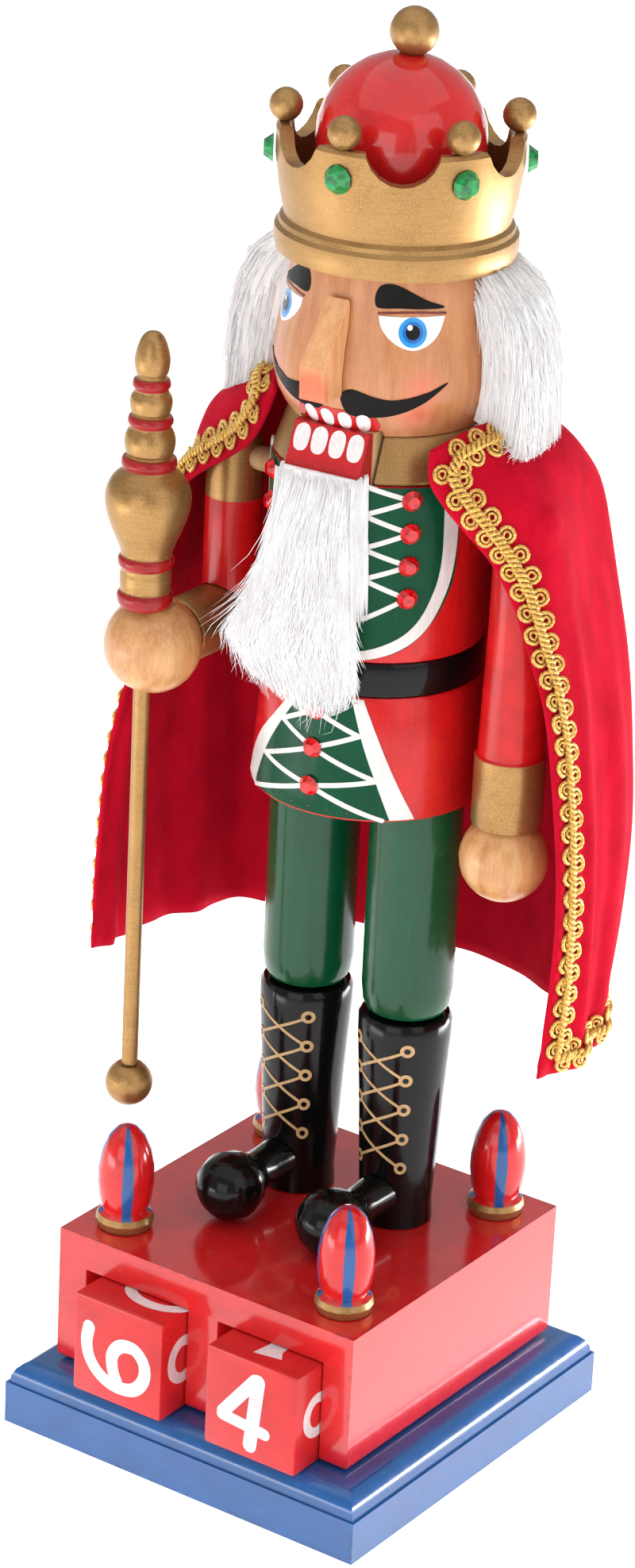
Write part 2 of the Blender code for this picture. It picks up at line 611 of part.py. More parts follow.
clear_scene()
PARTS = new_collection("nutcracker_king")
CUTTERS = new_collection("cutters_and_guides")
RED = paint("red_paint", (0.62, 0.02, 0.025), 0.25)
GREEN = paint("green_paint", (0.01, 0.12, 0.05), 0.25)
BLUE = paint("blue_paint", (0.02, 0.07, 0.28), 0.4)
BLACK = paint("black_paint", (0.01, 0.01, 0.01), 0.15)
GOLD = paint("gold_paint", (0.50, 0.33, 0.12), 0.4, 0.7)
FLESH = paint("clear_lacquered_wood", (0.72, 0.40, 0.19), 0.3)
WOOD = paint("bare_wood", (0.70, 0.52, 0.33), 0.6)
STEEL = paint("pin_steel", (0.55, 0.55, 0.56), 0.3, 1.0)
FUR = paint("white_fur", (0.85, 0.84, 0.84), 0.9)
VELVET = paint("red_velvet", (0.55, 0.01, 0.03), 0.8)
GREEN_GLASS = paint("green_glass", (0.0, 0.35, 0.12), 0.05)
RED_GLASS = paint("red_glass", (0.65, 0.01, 0.02), 0.05)
FIGURE = guide("figure_axis", (0, FIGURE_BACK, 0))
UPPER = guide("upper_body", (0, 0, 0), turn(z=BODY_TURN), FIGURE)

plinth()
calendar_box()
number_cube("number_cube_tens", -1)
number_cube("number_cube_units", 1)
finials()
leg("right", -1)
leg("left", 1)
skirt()
belt()
tunic()
collar()
jaw()
head()
nose()
hair()
crown()
dome()
gems()
shoulder_dowel("right", -1)
shoulder_dowel("left", 1)
right_arm()
left_arm()
cape()
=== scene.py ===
"""Looks of the nutcracker on its countdown base: paint, grain, fur, velvet, braid and light."""

import json
import math
import random
from collections import namedtuple

import bmesh
import bpy
from mathutils import Matrix, Vector, noise
from mathutils.bvhtree import BVHTree
from mathutils.geometry import delaunay_2d_cdt

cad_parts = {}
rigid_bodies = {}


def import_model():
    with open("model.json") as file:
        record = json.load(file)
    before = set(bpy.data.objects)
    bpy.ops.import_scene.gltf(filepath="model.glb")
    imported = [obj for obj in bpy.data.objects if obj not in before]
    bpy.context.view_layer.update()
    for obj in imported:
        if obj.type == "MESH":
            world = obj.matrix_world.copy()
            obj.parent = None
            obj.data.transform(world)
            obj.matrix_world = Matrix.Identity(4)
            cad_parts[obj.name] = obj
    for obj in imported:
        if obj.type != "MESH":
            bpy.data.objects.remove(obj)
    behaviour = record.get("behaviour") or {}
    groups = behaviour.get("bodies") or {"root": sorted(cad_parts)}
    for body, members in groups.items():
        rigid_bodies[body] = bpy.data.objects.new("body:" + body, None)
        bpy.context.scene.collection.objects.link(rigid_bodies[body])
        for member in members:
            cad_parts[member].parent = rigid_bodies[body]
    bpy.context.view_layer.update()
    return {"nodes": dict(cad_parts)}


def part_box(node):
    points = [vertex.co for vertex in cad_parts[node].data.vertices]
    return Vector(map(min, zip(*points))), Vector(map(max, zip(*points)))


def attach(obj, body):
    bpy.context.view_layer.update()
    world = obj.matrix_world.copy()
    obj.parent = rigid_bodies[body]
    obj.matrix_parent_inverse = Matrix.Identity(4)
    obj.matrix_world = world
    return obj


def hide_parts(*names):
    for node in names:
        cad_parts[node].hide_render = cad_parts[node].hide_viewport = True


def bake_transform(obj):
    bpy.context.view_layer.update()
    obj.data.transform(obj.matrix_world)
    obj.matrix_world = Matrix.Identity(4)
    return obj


for spare in list(bpy.data.objects):
    bpy.data.objects.remove(spare)
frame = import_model()

MM = 0.001
AXIS_Y = 17.0             # the figure's upright axis, behind the middle of the base
STANCE = 16.8             # each leg's distance from the middle
UPPER_TURN = 4.5          # the body above the legs is turned this many degrees
BOX_TOP = 61.3
SCEPTRE_FOOT = 240.2      # where the sceptre's head stands on its rod

# Turned outlines, as (radius, height)
HEAD = ((26.2, 297.2), (27.6, 299.2), (29.6, 303), (30.9, 308), (31.1, 313.5), (30.2, 320),
        (28.6, 327), (27.6, 334), (27, 341.5))
TUNIC = ((29.5, 235.2), (30.3, 238), (30.3, 283.9))
SKIRT = ((31.7, 190.3), (32.2, 192.5), (31, 209.9), (30.3, 223.8), (29.6, 224.9))
BOOT = ((10.3, 67.6), (10.9, 78.8), (11.9, 99.3), (13.1, 118.3), (13.1, 123.7))


# ---------------------------------------------------------------- materials

def srgb(red, green, blue):
    """The linear colour of an 8-bit sRGB triple."""
    parts = []
    for value in (red / 255, green / 255, blue / 255):
        parts.append(value / 12.92 if value <= 0.04045 else ((value + 0.055) / 1.055) ** 2.4)
    return (*parts, 1.0)


def tone(colour, factor):
    return (*[min(part * factor, 1.0) for part in colour[:3]], 1.0)


class Look:
    """A Principled material driven by textures laid out in the object's own millimetres."""

    def __init__(self, name, **fixed):
        self.material = bpy.data.materials.new(name)
        self.material.use_nodes = True
        self.tree = self.material.node_tree
        self.shader = self.tree.nodes["Principled BSDF"]
        self.place = self.add("ShaderNodeTexCoord").outputs["Object"]
        self.relief = None
        for socket, value in fixed.items():
            self.shader.inputs[socket.replace("_", " ")].default_value = value

    def add(self, kind, inputs=None, **settings):
        node = self.tree.nodes.new(kind)
        for name, value in settings.items():
            setattr(node, name, value)
        for name, value in (inputs or {}).items():
            self.feed(node.inputs[name], value)
        return node

    def feed(self, socket, value):
        if isinstance(value, bpy.types.NodeSocket):
            self.tree.links.new(value, socket)
        else:
            socket.default_value = value

    def calc(self, operation, first, second=0.0, clamp=False):
        node = self.add("ShaderNodeMath", {0: first, 1: second}, operation=operation)
        node.use_clamp = clamp
        return node.outputs[0]

    def weigh(self, *parts):
        """The sum of (value, weight) pairs."""
        total = None
        for value, weight in parts:
            share = self.calc("MULTIPLY", value, weight)
            total = share if total is None else self.calc("ADD", total, share)
        return total

    def span(self, value, low, high, start=0.0, end=1.0):
        """Maps low..high to start..end, clamped."""
        node = self.add("ShaderNodeMapRange", {"Value": value, "From Min": low, "From Max": high,
                                               "To Min": start, "To Max": end})
        return node.outputs["Result"]

    def noise(self, size, detail=3.0, stretch=(1, 1, 1)):
        """Cloudy values about size millimetres across, longer along a stretched axis."""
        scale = tuple(1 / part for part in stretch)
        mapping = self.add("ShaderNodeMapping", {"Vector": self.place, "Scale": scale})
        node = self.add("ShaderNodeTexNoise", {"Vector": mapping.outputs[0],
                                               "Scale": 1000 / size, "Detail": detail})
        return node.outputs["Fac"]

    def mix(self, amount, first, second):
        node = self.add("ShaderNodeMix", {0: amount, 6: first, 7: second}, data_type="RGBA")
        return node.outputs[2]

    def mottled(self, colour, size, dark, light, detail=3.0):
        """The colour in darker and lighter clouds about size millimetres across."""
        cloud = self.span(self.noise(size, detail), 0.35, 0.65)
        return self.mix(cloud, tone(colour, dark), tone(colour, light))

    def base(self):
        """What feeds the base colour now."""
        return self.shader.inputs["Base Color"].links[0].from_socket

    def along(self, axis):
        """The position along X, Y or Z in millimetres."""
        split = self.add("ShaderNodeSeparateXYZ", {"Vector": self.place})
        return self.calc("MULTIPLY", split.outputs[axis], 1000)

    def between(self, value, low, high, soft=0.12):
        rise = self.span(value, low - soft, low + soft)
        fall = self.span(value, high - soft, high + soft, 1, 0)
        return self.calc("MULTIPLY", rise, fall)

    def bands(self, ranges, soft=0.12):
        """A mask of several height ranges."""
        height = self.along("Z")
        mask = 0.0
        for low, high in ranges:
            mask = self.calc("MAXIMUM", mask, self.between(height, low, high, soft))
        return mask

    def spot(self, centre, inner, outer):
        """A soft round mask about a point."""
        point = tuple(part * MM for part in centre)
        node = self.add("ShaderNodeVectorMath", {0: self.place, 1: point}, operation="DISTANCE")
        return self.span(node.outputs["Value"], inner * MM, outer * MM, 1, 0)

    def bump(self, height, depth, strength=1.0):
        node = self.add("ShaderNodeBump", {"Height": height, "Distance": depth * MM,
                                           "Strength": strength})
        if self.relief:
            self.tree.links.new(self.relief, node.inputs["Normal"])
        self.relief = node.outputs["Normal"]
        self.feed(self.shader.inputs["Normal"], self.relief)

    def finish(self, colour=None, roughness=None, metallic=None):
        for name, value in (("Base Color", colour), ("Roughness", roughness),
                            ("Metallic", metallic)):
            if value is not None:
                self.feed(self.shader.inputs[name], value)
        return self


def edge_mask(look, node_name, width):
    """Where two faces of a boxy piece meet, broken up by noise: paint rubbed at the edges."""
    low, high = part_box(node_name)
    near = 0.0
    for axis, low_side, high_side in zip("XYZ", low, high):
        place = look.along(axis)
        side = look.calc("MAXIMUM", look.span(place, low_side / MM, low_side / MM + width, 1, 0),
                         look.span(place, high_side / MM - width, high_side / MM, 0, 1))
        near = look.calc("ADD", near, side)
    edge = look.calc("SUBTRACT", near, 1.0, clamp=True)
    chips = look.span(look.noise(2.4, 6), 0.48, 0.62)
    return look.calc("MULTIPLY", edge, chips)


def enamel(name, colour, gloss=0.26, coat=0.15, grain=(1, 1, 14), worn=None, shine=0.34):
    """Brushed gloss paint on wood: faint grain under it, a slow waviness, rubbed edges."""
    look = Look(name, Coat_Weight=coat, Coat_Roughness=0.09, Specular_IOR_Level=shine)
    fibre = look.noise(0.8, 4, grain)
    cloud = look.noise(14)
    shade = look.weigh((fibre, 0.45), (cloud, 0.55))
    base = look.mix(look.span(shade, 0.36, 0.64), tone(colour, 0.84), tone(colour, 1.12))
    if worn:
        base = look.mix(edge_mask(look, worn, 1.1), base, tone(colour, 0.55))
    look.finish(base, look.span(look.noise(3, 4), 0.3, 0.7, gloss - 0.06, gloss + 0.08))
    look.bump(fibre, 0.05, 0.1)
    look.bump(look.noise(6, 2), 0.25, 0.16)
    return look


def gilded(look, spread=0.1):
    """Gold paint: colour and roughness flicker like fine flake, with faint turning lines."""
    flake = look.noise(0.35, 2)
    cloud = look.noise(9)
    base = look.mix(look.span(cloud, 0.3, 0.7), srgb(146, 106, 58), srgb(166, 126, 74))
    base = look.mix(look.span(flake, 0.35, 0.7), base, srgb(182, 144, 92))
    lines = look.noise(0.45, 3, (16, 16, 1))
    base = look.mix(look.span(lines, 0.5, 0.68, 0, 0.2), base, srgb(116, 82, 42))
    rough = look.span(flake, 0.3, 0.7, 0.38 - spread / 2, 0.38 + spread)
    look.bump(lines, 0.06, 0.35)
    look.bump(flake, 0.02, 0.25)
    return base, rough


def gold(name):
    look = Look(name, Metallic=0.78, Coat_Weight=0.1, Coat_Roughness=0.2)
    base, rough = gilded(look)
    return look.finish(base, rough)


def gold_and_paint(name, colour, painted_bands, gloss=0.26):
    """Gold paint with coloured bands at the given heights."""
    look = Look(name, Coat_Weight=0.06, Coat_Roughness=0.1, Specular_IOR_Level=0.35)
    base, rough = gilded(look)
    mask = look.bands(painted_bands)
    paint = look.mottled(colour, 8, 0.84, 1.1)
    metal = look.span(mask, 0, 1, 0.72, 0.0)
    rough = look.calc("ADD", look.calc("MULTIPLY", rough, look.span(mask, 0, 1, 0.84, 0)),
                      look.calc("MULTIPLY", mask, gloss))
    return look.finish(look.mix(mask, base, paint), rough, metal)


def wood(name, light, dark, grain=(1, 1, 16), coat=0.3, gloss=0.36):
    """Clear-coated close-grained wood: long growth streaks, fine pores and slow tone changes."""
    look = Look(name, Coat_Weight=coat, Coat_Roughness=0.12)
    growth = look.noise(3.2, 2, grain)
    fibre = look.noise(0.5, 5, grain)
    cloud = look.noise(22)
    shade = look.weigh((growth, 0.5), (fibre, 0.28), (cloud, 0.22))
    base = look.mix(look.span(shade, 0.38, 0.62), dark, light)
    pores = look.span(look.noise(0.32, 2, (1, 1, 9)), 0.64, 0.74)
    base = look.mix(look.calc("MULTIPLY", pores, 0.4), base, tone(dark, 0.6))
    look.finish(base, look.span(fibre, 0.3, 0.7, gloss - 0.06, gloss + 0.1))
    look.bump(fibre, 0.06, 0.25)
    return look


RED = srgb(204, 24, 26)
DEEP_RED = srgb(158, 20, 24)
GREEN = srgb(6, 74, 42)
BLUE = srgb(14, 84, 150)

red_paint = enamel("red_enamel", RED)
box_paint = enamel("red_box_enamel", srgb(214, 34, 36), 0.2, 0.9, (14, 1, 1), "calendar_box")
cube_paint = enamel("red_cube_enamel", srgb(206, 34, 36), 0.34, 0.3, (10, 1, 1))
green_paint = enamel("green_enamel", GREEN, 0.2)
blue_paint = enamel("blue_enamel", BLUE, 0.2, 0.9, (14, 1, 1), "plinth")
black_paint = enamel("black_enamel", srgb(14, 12, 12), 0.15, 0.1, shine=0.2)
ink = enamel("black_ink", srgb(18, 15, 14), 0.42, 0.02, shine=0.12)
tan_cord = enamel("tan_lacing_paint", srgb(196, 160, 112), 0.45, 0.2)
gold_paint = gold("gold_flake_paint")
bare_wood = wood("bare_beech", srgb(205, 170, 122), srgb(176, 134, 88), coat=0.0, gloss=0.6)
hand_wood = wood("lacquered_beech", srgb(222, 170, 112), srgb(188, 128, 76))


def face_look():
    """Flesh-tinted wood with rouge on the cheeks, two patches on each."""
    look = wood("flesh_tinted_wood", srgb(204, 140, 92), srgb(182, 114, 68))
    base = look.base()
    cheek = 30.8
    rouge = 0.0
    for angle, height, size in ((50, 311, 7.5), (-41, 311, 7.5), (47, 304, 7), (-38, 304, 7)):
        turn = math.radians(angle)
        centre = (cheek * math.sin(turn), AXIS_Y - cheek * math.cos(turn), height)
        rouge = look.calc("MAXIMUM", rouge, look.spot(centre, 0.5, size))
    mottle = look.span(look.noise(2.2, 4), 0.25, 0.7, 0.35, 0.75)
    return look.finish(look.mix(look.calc("MULTIPLY", rouge, mottle), base, srgb(226, 96, 76)))


def nose_look():
    look = wood("nose_wood", srgb(232, 174, 122), srgb(208, 142, 92), coat=0.1, gloss=0.5)
    tip = look.calc("MULTIPLY", look.spot((3, -25.5, 311.5), 4.0, 7.5), 0.75)
    return look.finish(look.mix(tip, look.base(), srgb(214, 88, 56)))


def glass(name, colour):
    """A paste stone: deep colour with brighter flecks painted in as facet sparkle, and a hard
    gloss.
    """
    look = Look(name, Roughness=0.08, Coat_Weight=0.4, Coat_Roughness=0.03)
    # The lighter clouds, up to 1.7 times the colour, are painted sparkle of the facets.
    return look.finish(look.mottled(colour, 1.8, 0.6, 1.7, 1))


def finial_look(name, node_name):
    """A red egg with four blue stripes over a gold ring."""
    look = Look(name, Coat_Weight=0.25, Coat_Roughness=0.06)
    low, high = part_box(node_name)
    centre = (low + high) / 2
    side_x = look.calc("SUBTRACT", look.along("X"), centre.x / MM)
    side_y = look.calc("SUBTRACT", look.along("Y"), centre.y / MM)
    turn = look.calc("ARCTAN2", side_x, look.calc("MULTIPLY", side_y, -1))
    quarter = look.calc("PINGPONG", look.calc("SUBTRACT", turn, math.radians(41)), math.pi / 4)
    width = look.calc("MULTIPLY", quarter, 7.2)
    drift = look.span(look.noise(4), 0, 1, -0.25, 0.25)
    stripe = look.span(look.calc("ADD", width, drift), 1.35, 1.6, 1, 0)
    egg = look.mix(stripe, look.mottled(RED, 7, 0.9, 1.15), BLUE)
    base, rough = gilded(look)
    ring = look.bands([(BOX_TOP - 1, BOX_TOP + 4.1)])
    rough = look.calc("ADD", look.calc("MULTIPLY", rough, ring),
                      look.calc("MULTIPLY", look.span(ring, 0, 1, 1, 0), 0.16))
    return look.finish(look.mix(ring, egg, base), rough, look.calc("MULTIPLY", ring, 0.7))


def steel_look():
    look = Look("pin_steel", Metallic=1.0)
    scratch = look.noise(0.4, 3, (14, 1, 1))
    look.finish(look.mix(scratch, srgb(150, 152, 156), srgb(196, 198, 202)),
                look.span(scratch, 0.3, 0.7, 0.22, 0.42))
    look.bump(scratch, 0.02, 0.3)
    return look


def lever_look():
    """The jaw board: bare wood, painted a darker red than the lips over the end that shows as a
    mouth; that darker red is painted shade on the board's sides.
    """
    look = wood("jaw_board_wood", srgb(214, 180, 134), srgb(184, 142, 96), coat=0.1, gloss=0.5)
    end = look.between(look.along("Y"), -40, -9, 0.4)
    # A darker red than the mouth's paint: painted shade for the board's sides beside the beard.
    paint = look.mix(look.noise(6), srgb(150, 18, 20), srgb(178, 24, 28))
    return look.finish(look.mix(end, look.base(), paint))


FINISHES = {
    "plinth": blue_paint,
    "calendar_box": box_paint,
    "number_cube_tens": cube_paint,
    "number_cube_units": cube_paint,
    "coat_skirt": red_paint,
    "belt": black_paint,
    "tunic": red_paint,
    "collar": gold_paint,
    "jaw_lever": lever_look(),
    "jaw_pin": steel_look(),
    "head": face_look(),
    "nose": nose_look(),
    "crown": gold_paint,
    "crown_dome": enamel("dome_enamel", srgb(208, 30, 32), 0.14, 0.6),
    "crown_top_ball": gold_paint,
    "upper_arm_right": gold_and_paint("upper_arm_paint", RED, [(0, 262)]),
    "forearm_right": gold_paint,
    "arm_left": gold_and_paint("left_arm_paint", RED, [(210.6, 300)]),
    "hand_right": hand_wood,
    "hand_left": hand_wood,
    "sceptre_head": gold_and_paint("sceptre_paint", DEEP_RED, [
        (SCEPTRE_FOOT + low, SCEPTRE_FOOT + high) for low, high in
        ((0, 4.7), (11.4, 14.8), (39.2, 42.5), (50.9, 53.9), (61, 64.1))], gloss=0.2),
    "sceptre_rod": gold_paint,
    "sceptre_ball": gold_paint,
}
for depth in ("front", "back"):
    for side in ("right", "left"):
        name = f"finial_{depth}_{side}"
        FINISHES[name] = finial_look(f"{name}_paint", name)
for side in ("right", "left"):
    for part, look in (("boot", black_paint), ("boot_toe", black_paint),
                       ("trouser_leg", green_paint), ("leg_dowel", bare_wood),
                       ("shoulder_dowel", bare_wood)):
        FINISHES[f"{part}_{side}"] = look
FINISHES["neck_dowel"] = bare_wood
red_glass = glass("red_paste_stone", srgb(214, 12, 20))
green_glass = glass("green_paste_stone", srgb(0, 124, 58))


# ---------------------------------------------------------------- CAD nodes

WELD_DISTANCE = 0.00001   # metres
SHARP_EDGE = 32           # degrees between faces that stay a crease


def smoothing_group():
    """Welds the imported corners, then shades smooth except across real edges."""
    group = bpy.data.node_groups.new("weld_and_smooth", "GeometryNodeTree")
    group.interface.new_socket("Geometry", in_out="INPUT", socket_type="NodeSocketGeometry")
    group.interface.new_socket("Geometry", in_out="OUTPUT", socket_type="NodeSocketGeometry")
    nodes, link = group.nodes, group.links.new
    start = nodes.new("NodeGroupInput")
    strip = nodes.new("GeometryNodeRemoveAttribute")
    strip.inputs["Name"].default_value = "custom_normal"
    weld = nodes.new("GeometryNodeMergeByDistance")
    weld.inputs["Distance"].default_value = WELD_DISTANCE
    smooth_faces = nodes.new("GeometryNodeSetShadeSmooth")
    sharp_edges = nodes.new("GeometryNodeSetShadeSmooth")
    sharp_edges.domain = "EDGE"
    sharp_edges.inputs["Shade Smooth"].default_value = False
    angle = nodes.new("GeometryNodeInputMeshEdgeAngle")
    steep = nodes.new("FunctionNodeCompare")
    steep.operation = "GREATER_THAN"
    steep.inputs[1].default_value = math.radians(SHARP_EDGE)
    end = nodes.new("NodeGroupOutput")
    link(start.outputs[0], strip.inputs["Geometry"])
    link(strip.outputs[0], weld.inputs["Geometry"])
    link(weld.outputs[0], smooth_faces.inputs["Geometry"])
    link(smooth_faces.outputs[0], sharp_edges.inputs["Geometry"])
    link(angle.outputs["Unsigned Angle"], steep.inputs[0])
    link(steep.outputs[0], sharp_edges.inputs["Selection"])
    link(sharp_edges.outputs[0], end.inputs[0])
    return group


def dress_cad(nodes):
    group = smoothing_group()
    for name, piece in nodes.items():
        if name in FINISHES:
            look = FINISHES[name]
        elif name.startswith("crown_gem"):
            look = green_glass
        elif "gem" in name:
            look = red_glass
        else:
            continue
        piece.data.materials.clear()
        piece.data.materials.append(look.material)
        if "gem" not in name:
            piece.modifiers.new("smooth", "NODES").node_group = group


# ---------------------------------------------------------------- paint laid on surfaces

def interpolate(pairs, place):
    """Reads a value from (value, place) pairs sorted by place."""
    if place <= pairs[0][1]:
        return pairs[0][0]
    for (value, start), (later, end) in zip(pairs, pairs[1:]):
        if place <= end:
            return value + (later - value) * (place - start) / (end - start)
    return pairs[-1][0]


def on_turned(outline, axis_x=0.0, axis_y=AXIS_Y):
    """A surface turned about an upright axis: (degrees from the front, height) to a point."""
    def point(angle, height, lift):
        radius = interpolate(outline, height) + lift
        turn = math.radians(angle)
        return Vector((axis_x + radius * math.sin(turn), axis_y - radius * math.cos(turn),
                       height)) * MM
    return point


def on_plane(corner, across, up):
    """A flat surface: (millimetres across, millimetres up) to a point."""
    corner, across, up = Vector(corner), Vector(across), Vector(up)
    out = across.cross(up)

    def point(along, height, lift):
        return (corner + across * along + up * height + out * lift) * MM
    return point


def curve_through(points, steps=6, closed=True):
    """A smooth line through the points."""
    count = len(points)
    line = []
    for i in range(count if closed else count - 1):
        if closed:
            a, b, c, d = (points[(i + k) % count] for k in (-1, 0, 1, 2))
        else:
            a, b, c, d = (points[min(max(i + k, 0), count - 1)] for k in (-1, 0, 1, 2))
        for step in range(steps):
            t = step / steps
            line.append(tuple(
                0.5 * (2 * q + (r - p) * t + (2 * p - 5 * q + 4 * r - s) * t * t
                       + (3 * q - p - 3 * r + s) * t ** 3)
                for p, q, r, s in zip(a, b, c, d)))
    if not closed:
        line.append(tuple(points[-1]))
    return line


def divided(outline, longest):
    """The closed outline with no side longer than the given length."""
    line = []
    for start, end in zip(outline, outline[1:] + outline[:1]):
        a, b = Vector(start), Vector(end)
        parts = max(1, math.ceil((b - a).length / longest))
        line.extend(a.lerp(b, step / parts) for step in range(parts))
    return line


def inside(point, outline):
    """Whether the point is inside the closed outline."""
    hit = False
    for a, b in zip(outline, outline[1:] + outline[:1]):
        if (a.y > point.y) != (b.y > point.y):
            if point.x < (b.x - a.x) * (point.y - a.y) / (b.y - a.y) + a.x:
                hit = not hit
    return hit


def add_leaf(bm, outline, point, per_unit, lift, sink, net=1.6):
    """Adds one closed leaf of paint: the outline, filled with a net that follows the surface."""
    rim = divided([(u * per_unit, v) for u, v in outline], net)
    low_u, high_u = min(p.x for p in rim), max(p.x for p in rim)
    low_v, high_v = min(p.y for p in rim), max(p.y for p in rim)
    spots = list(rim)
    u = low_u + net / 2
    while u < high_u:
        v = low_v + net / 2
        while v < high_v:
            spot = Vector((u, v))
            near = min((spot - p).length for p in rim)
            if near > net * 0.45 and inside(spot, rim):
                spots.append(spot)
            v += net
        u += net
    loop = [(i, (i + 1) % len(rim)) for i in range(len(rim))]
    flat, _, faces, _, _, _ = delaunay_2d_cdt(spots, loop, [], 1, 1e-4)
    top = [bm.verts.new(point(p.x / per_unit, p.y, lift)) for p in flat]
    bottom = [bm.verts.new(point(p.x / per_unit, p.y, -sink)) for p in flat]
    sides = set()
    for face in faces:
        bm.faces.new([top[i] for i in face])
        bm.faces.new([bottom[i] for i in reversed(face)])
        sides.update(zip(face, list(face[1:]) + [face[0]]))
    for a, b in sides:
        if (b, a) not in sides:
            bm.faces.new([top[b], top[a], bottom[a], bottom[b]])


Stroke = namedtuple("Stroke", "points widths")


def stroke(points, widths):
    """A line of paint along the points, one width or one for each point."""
    if isinstance(widths, (int, float)):
        widths = [widths] * len(points)
    return Stroke(list(points), widths)


def add_stroke(bm, line, point, per_unit, lift, sink, step=1.2):
    """Adds one closed strip of paint that follows the surface, with round ends."""
    spots = []
    pairs = list(zip(line.points, line.widths))
    for (start, width), (end, later) in zip(pairs, pairs[1:]):
        a, b = Vector((start[0] * per_unit, start[1])), Vector((end[0] * per_unit, end[1]))
        parts = max(1, math.ceil((b - a).length / step))
        spots.extend((a.lerp(b, k / parts), width + (later - width) * k / parts)
                     for k in range(parts))
    spots.append((Vector((line.points[-1][0] * per_unit, line.points[-1][1])), line.widths[-1]))
    rows = []
    for i, (spot, width) in enumerate(spots):
        ahead = (spots[min(i + 1, len(spots) - 1)][0] - spots[max(i - 1, 0)][0]).normalized()
        side = Vector((-ahead.y, ahead.x)) * width / 2
        if i == 0:
            rows += [(spot - ahead * width / 2 * math.cos(turn), side * math.sin(turn))
                     for turn in (0.35, 0.8, 1.2)]
        rows.append((spot, side))
        if i == len(spots) - 1:
            rows += [(spot + ahead * width / 2 * math.cos(turn), side * math.sin(turn))
                     for turn in (1.2, 0.8, 0.35)]
    layers = []
    for height, rise in ((lift, 0.04), (-sink, 0)):
        layers.append([[bm.verts.new(point((spot + side * k).x / per_unit,
                                           (spot + side * k).y, height + rise * i / len(rows)))
                        for k in (1, 0, -1)] for i, (spot, side) in enumerate(rows)])
    top, bottom = layers
    for i in range(len(rows) - 1):
        for k in (0, 1):
            bm.faces.new([top[i][k], top[i][k + 1], top[i + 1][k + 1], top[i + 1][k]])
            bm.faces.new([bottom[i][k + 1], bottom[i][k], bottom[i + 1][k], bottom[i + 1][k + 1]])
        bm.faces.new([top[i + 1][0], bottom[i + 1][0], bottom[i][0], top[i][0]])
        bm.faces.new([top[i][2], bottom[i][2], bottom[i + 1][2], top[i + 1][2]])
    for i, order in ((0, 1), (len(rows) - 1, -1)):
        for k in (0, 1):
            bm.faces.new([top[i][k + 1], top[i][k], bottom[i][k], bottom[i][k + 1]][::order])


def disc(u, v, radius, per_unit=1.0, squash=1.0, sides=28):
    return [(u + radius * math.cos(math.tau * k / sides) / per_unit,
             v + radius * squash * math.sin(math.tau * k / sides)) for k in range(sides)]


def finish_piece(name, bm, look, body):
    """Turns built geometry into a smooth-shaded piece that rides on a body, if one is given."""
    bmesh.ops.recalc_face_normals(bm, faces=bm.faces)
    mesh = bpy.data.meshes.new(name)
    bm.to_mesh(mesh)
    bm.free()
    mesh.shade_smooth()
    mesh.materials.append(look.material)
    piece = bpy.data.objects.new(name, mesh)
    bpy.context.scene.collection.objects.link(piece)
    if body:
        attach(piece, body)
    return piece


def painted(name, outlines, point, look, per_unit=1.0, lift=0.12, sink=0.45,
            body="figure_and_base"):
    bm = bmesh.new()
    for k, outline in enumerate(outlines):
        if isinstance(outline, Stroke):
            add_stroke(bm, outline, point, per_unit, lift + k % 8 * 0.006, sink)
        else:
            add_leaf(bm, outline, point, per_unit, lift, sink)
    piece = finish_piece(name, bm, look, body)
    piece.data.set_sharp_from_angle(angle=math.radians(50))
    return piece


def mirrored(outline, about):
    """The outline or stroke reflected left to right about an angle."""
    if isinstance(outline, Stroke):
        return Stroke([(2 * about - u, v) for u, v in outline.points], outline.widths)
    return [(2 * about - u, v) for u, v in reversed(outline)]


HEAD_DEGREE = 0.52        # millimetres of one degree round the head
BODY_DEGREE = 0.53
BOOT_DEGREE = 0.21


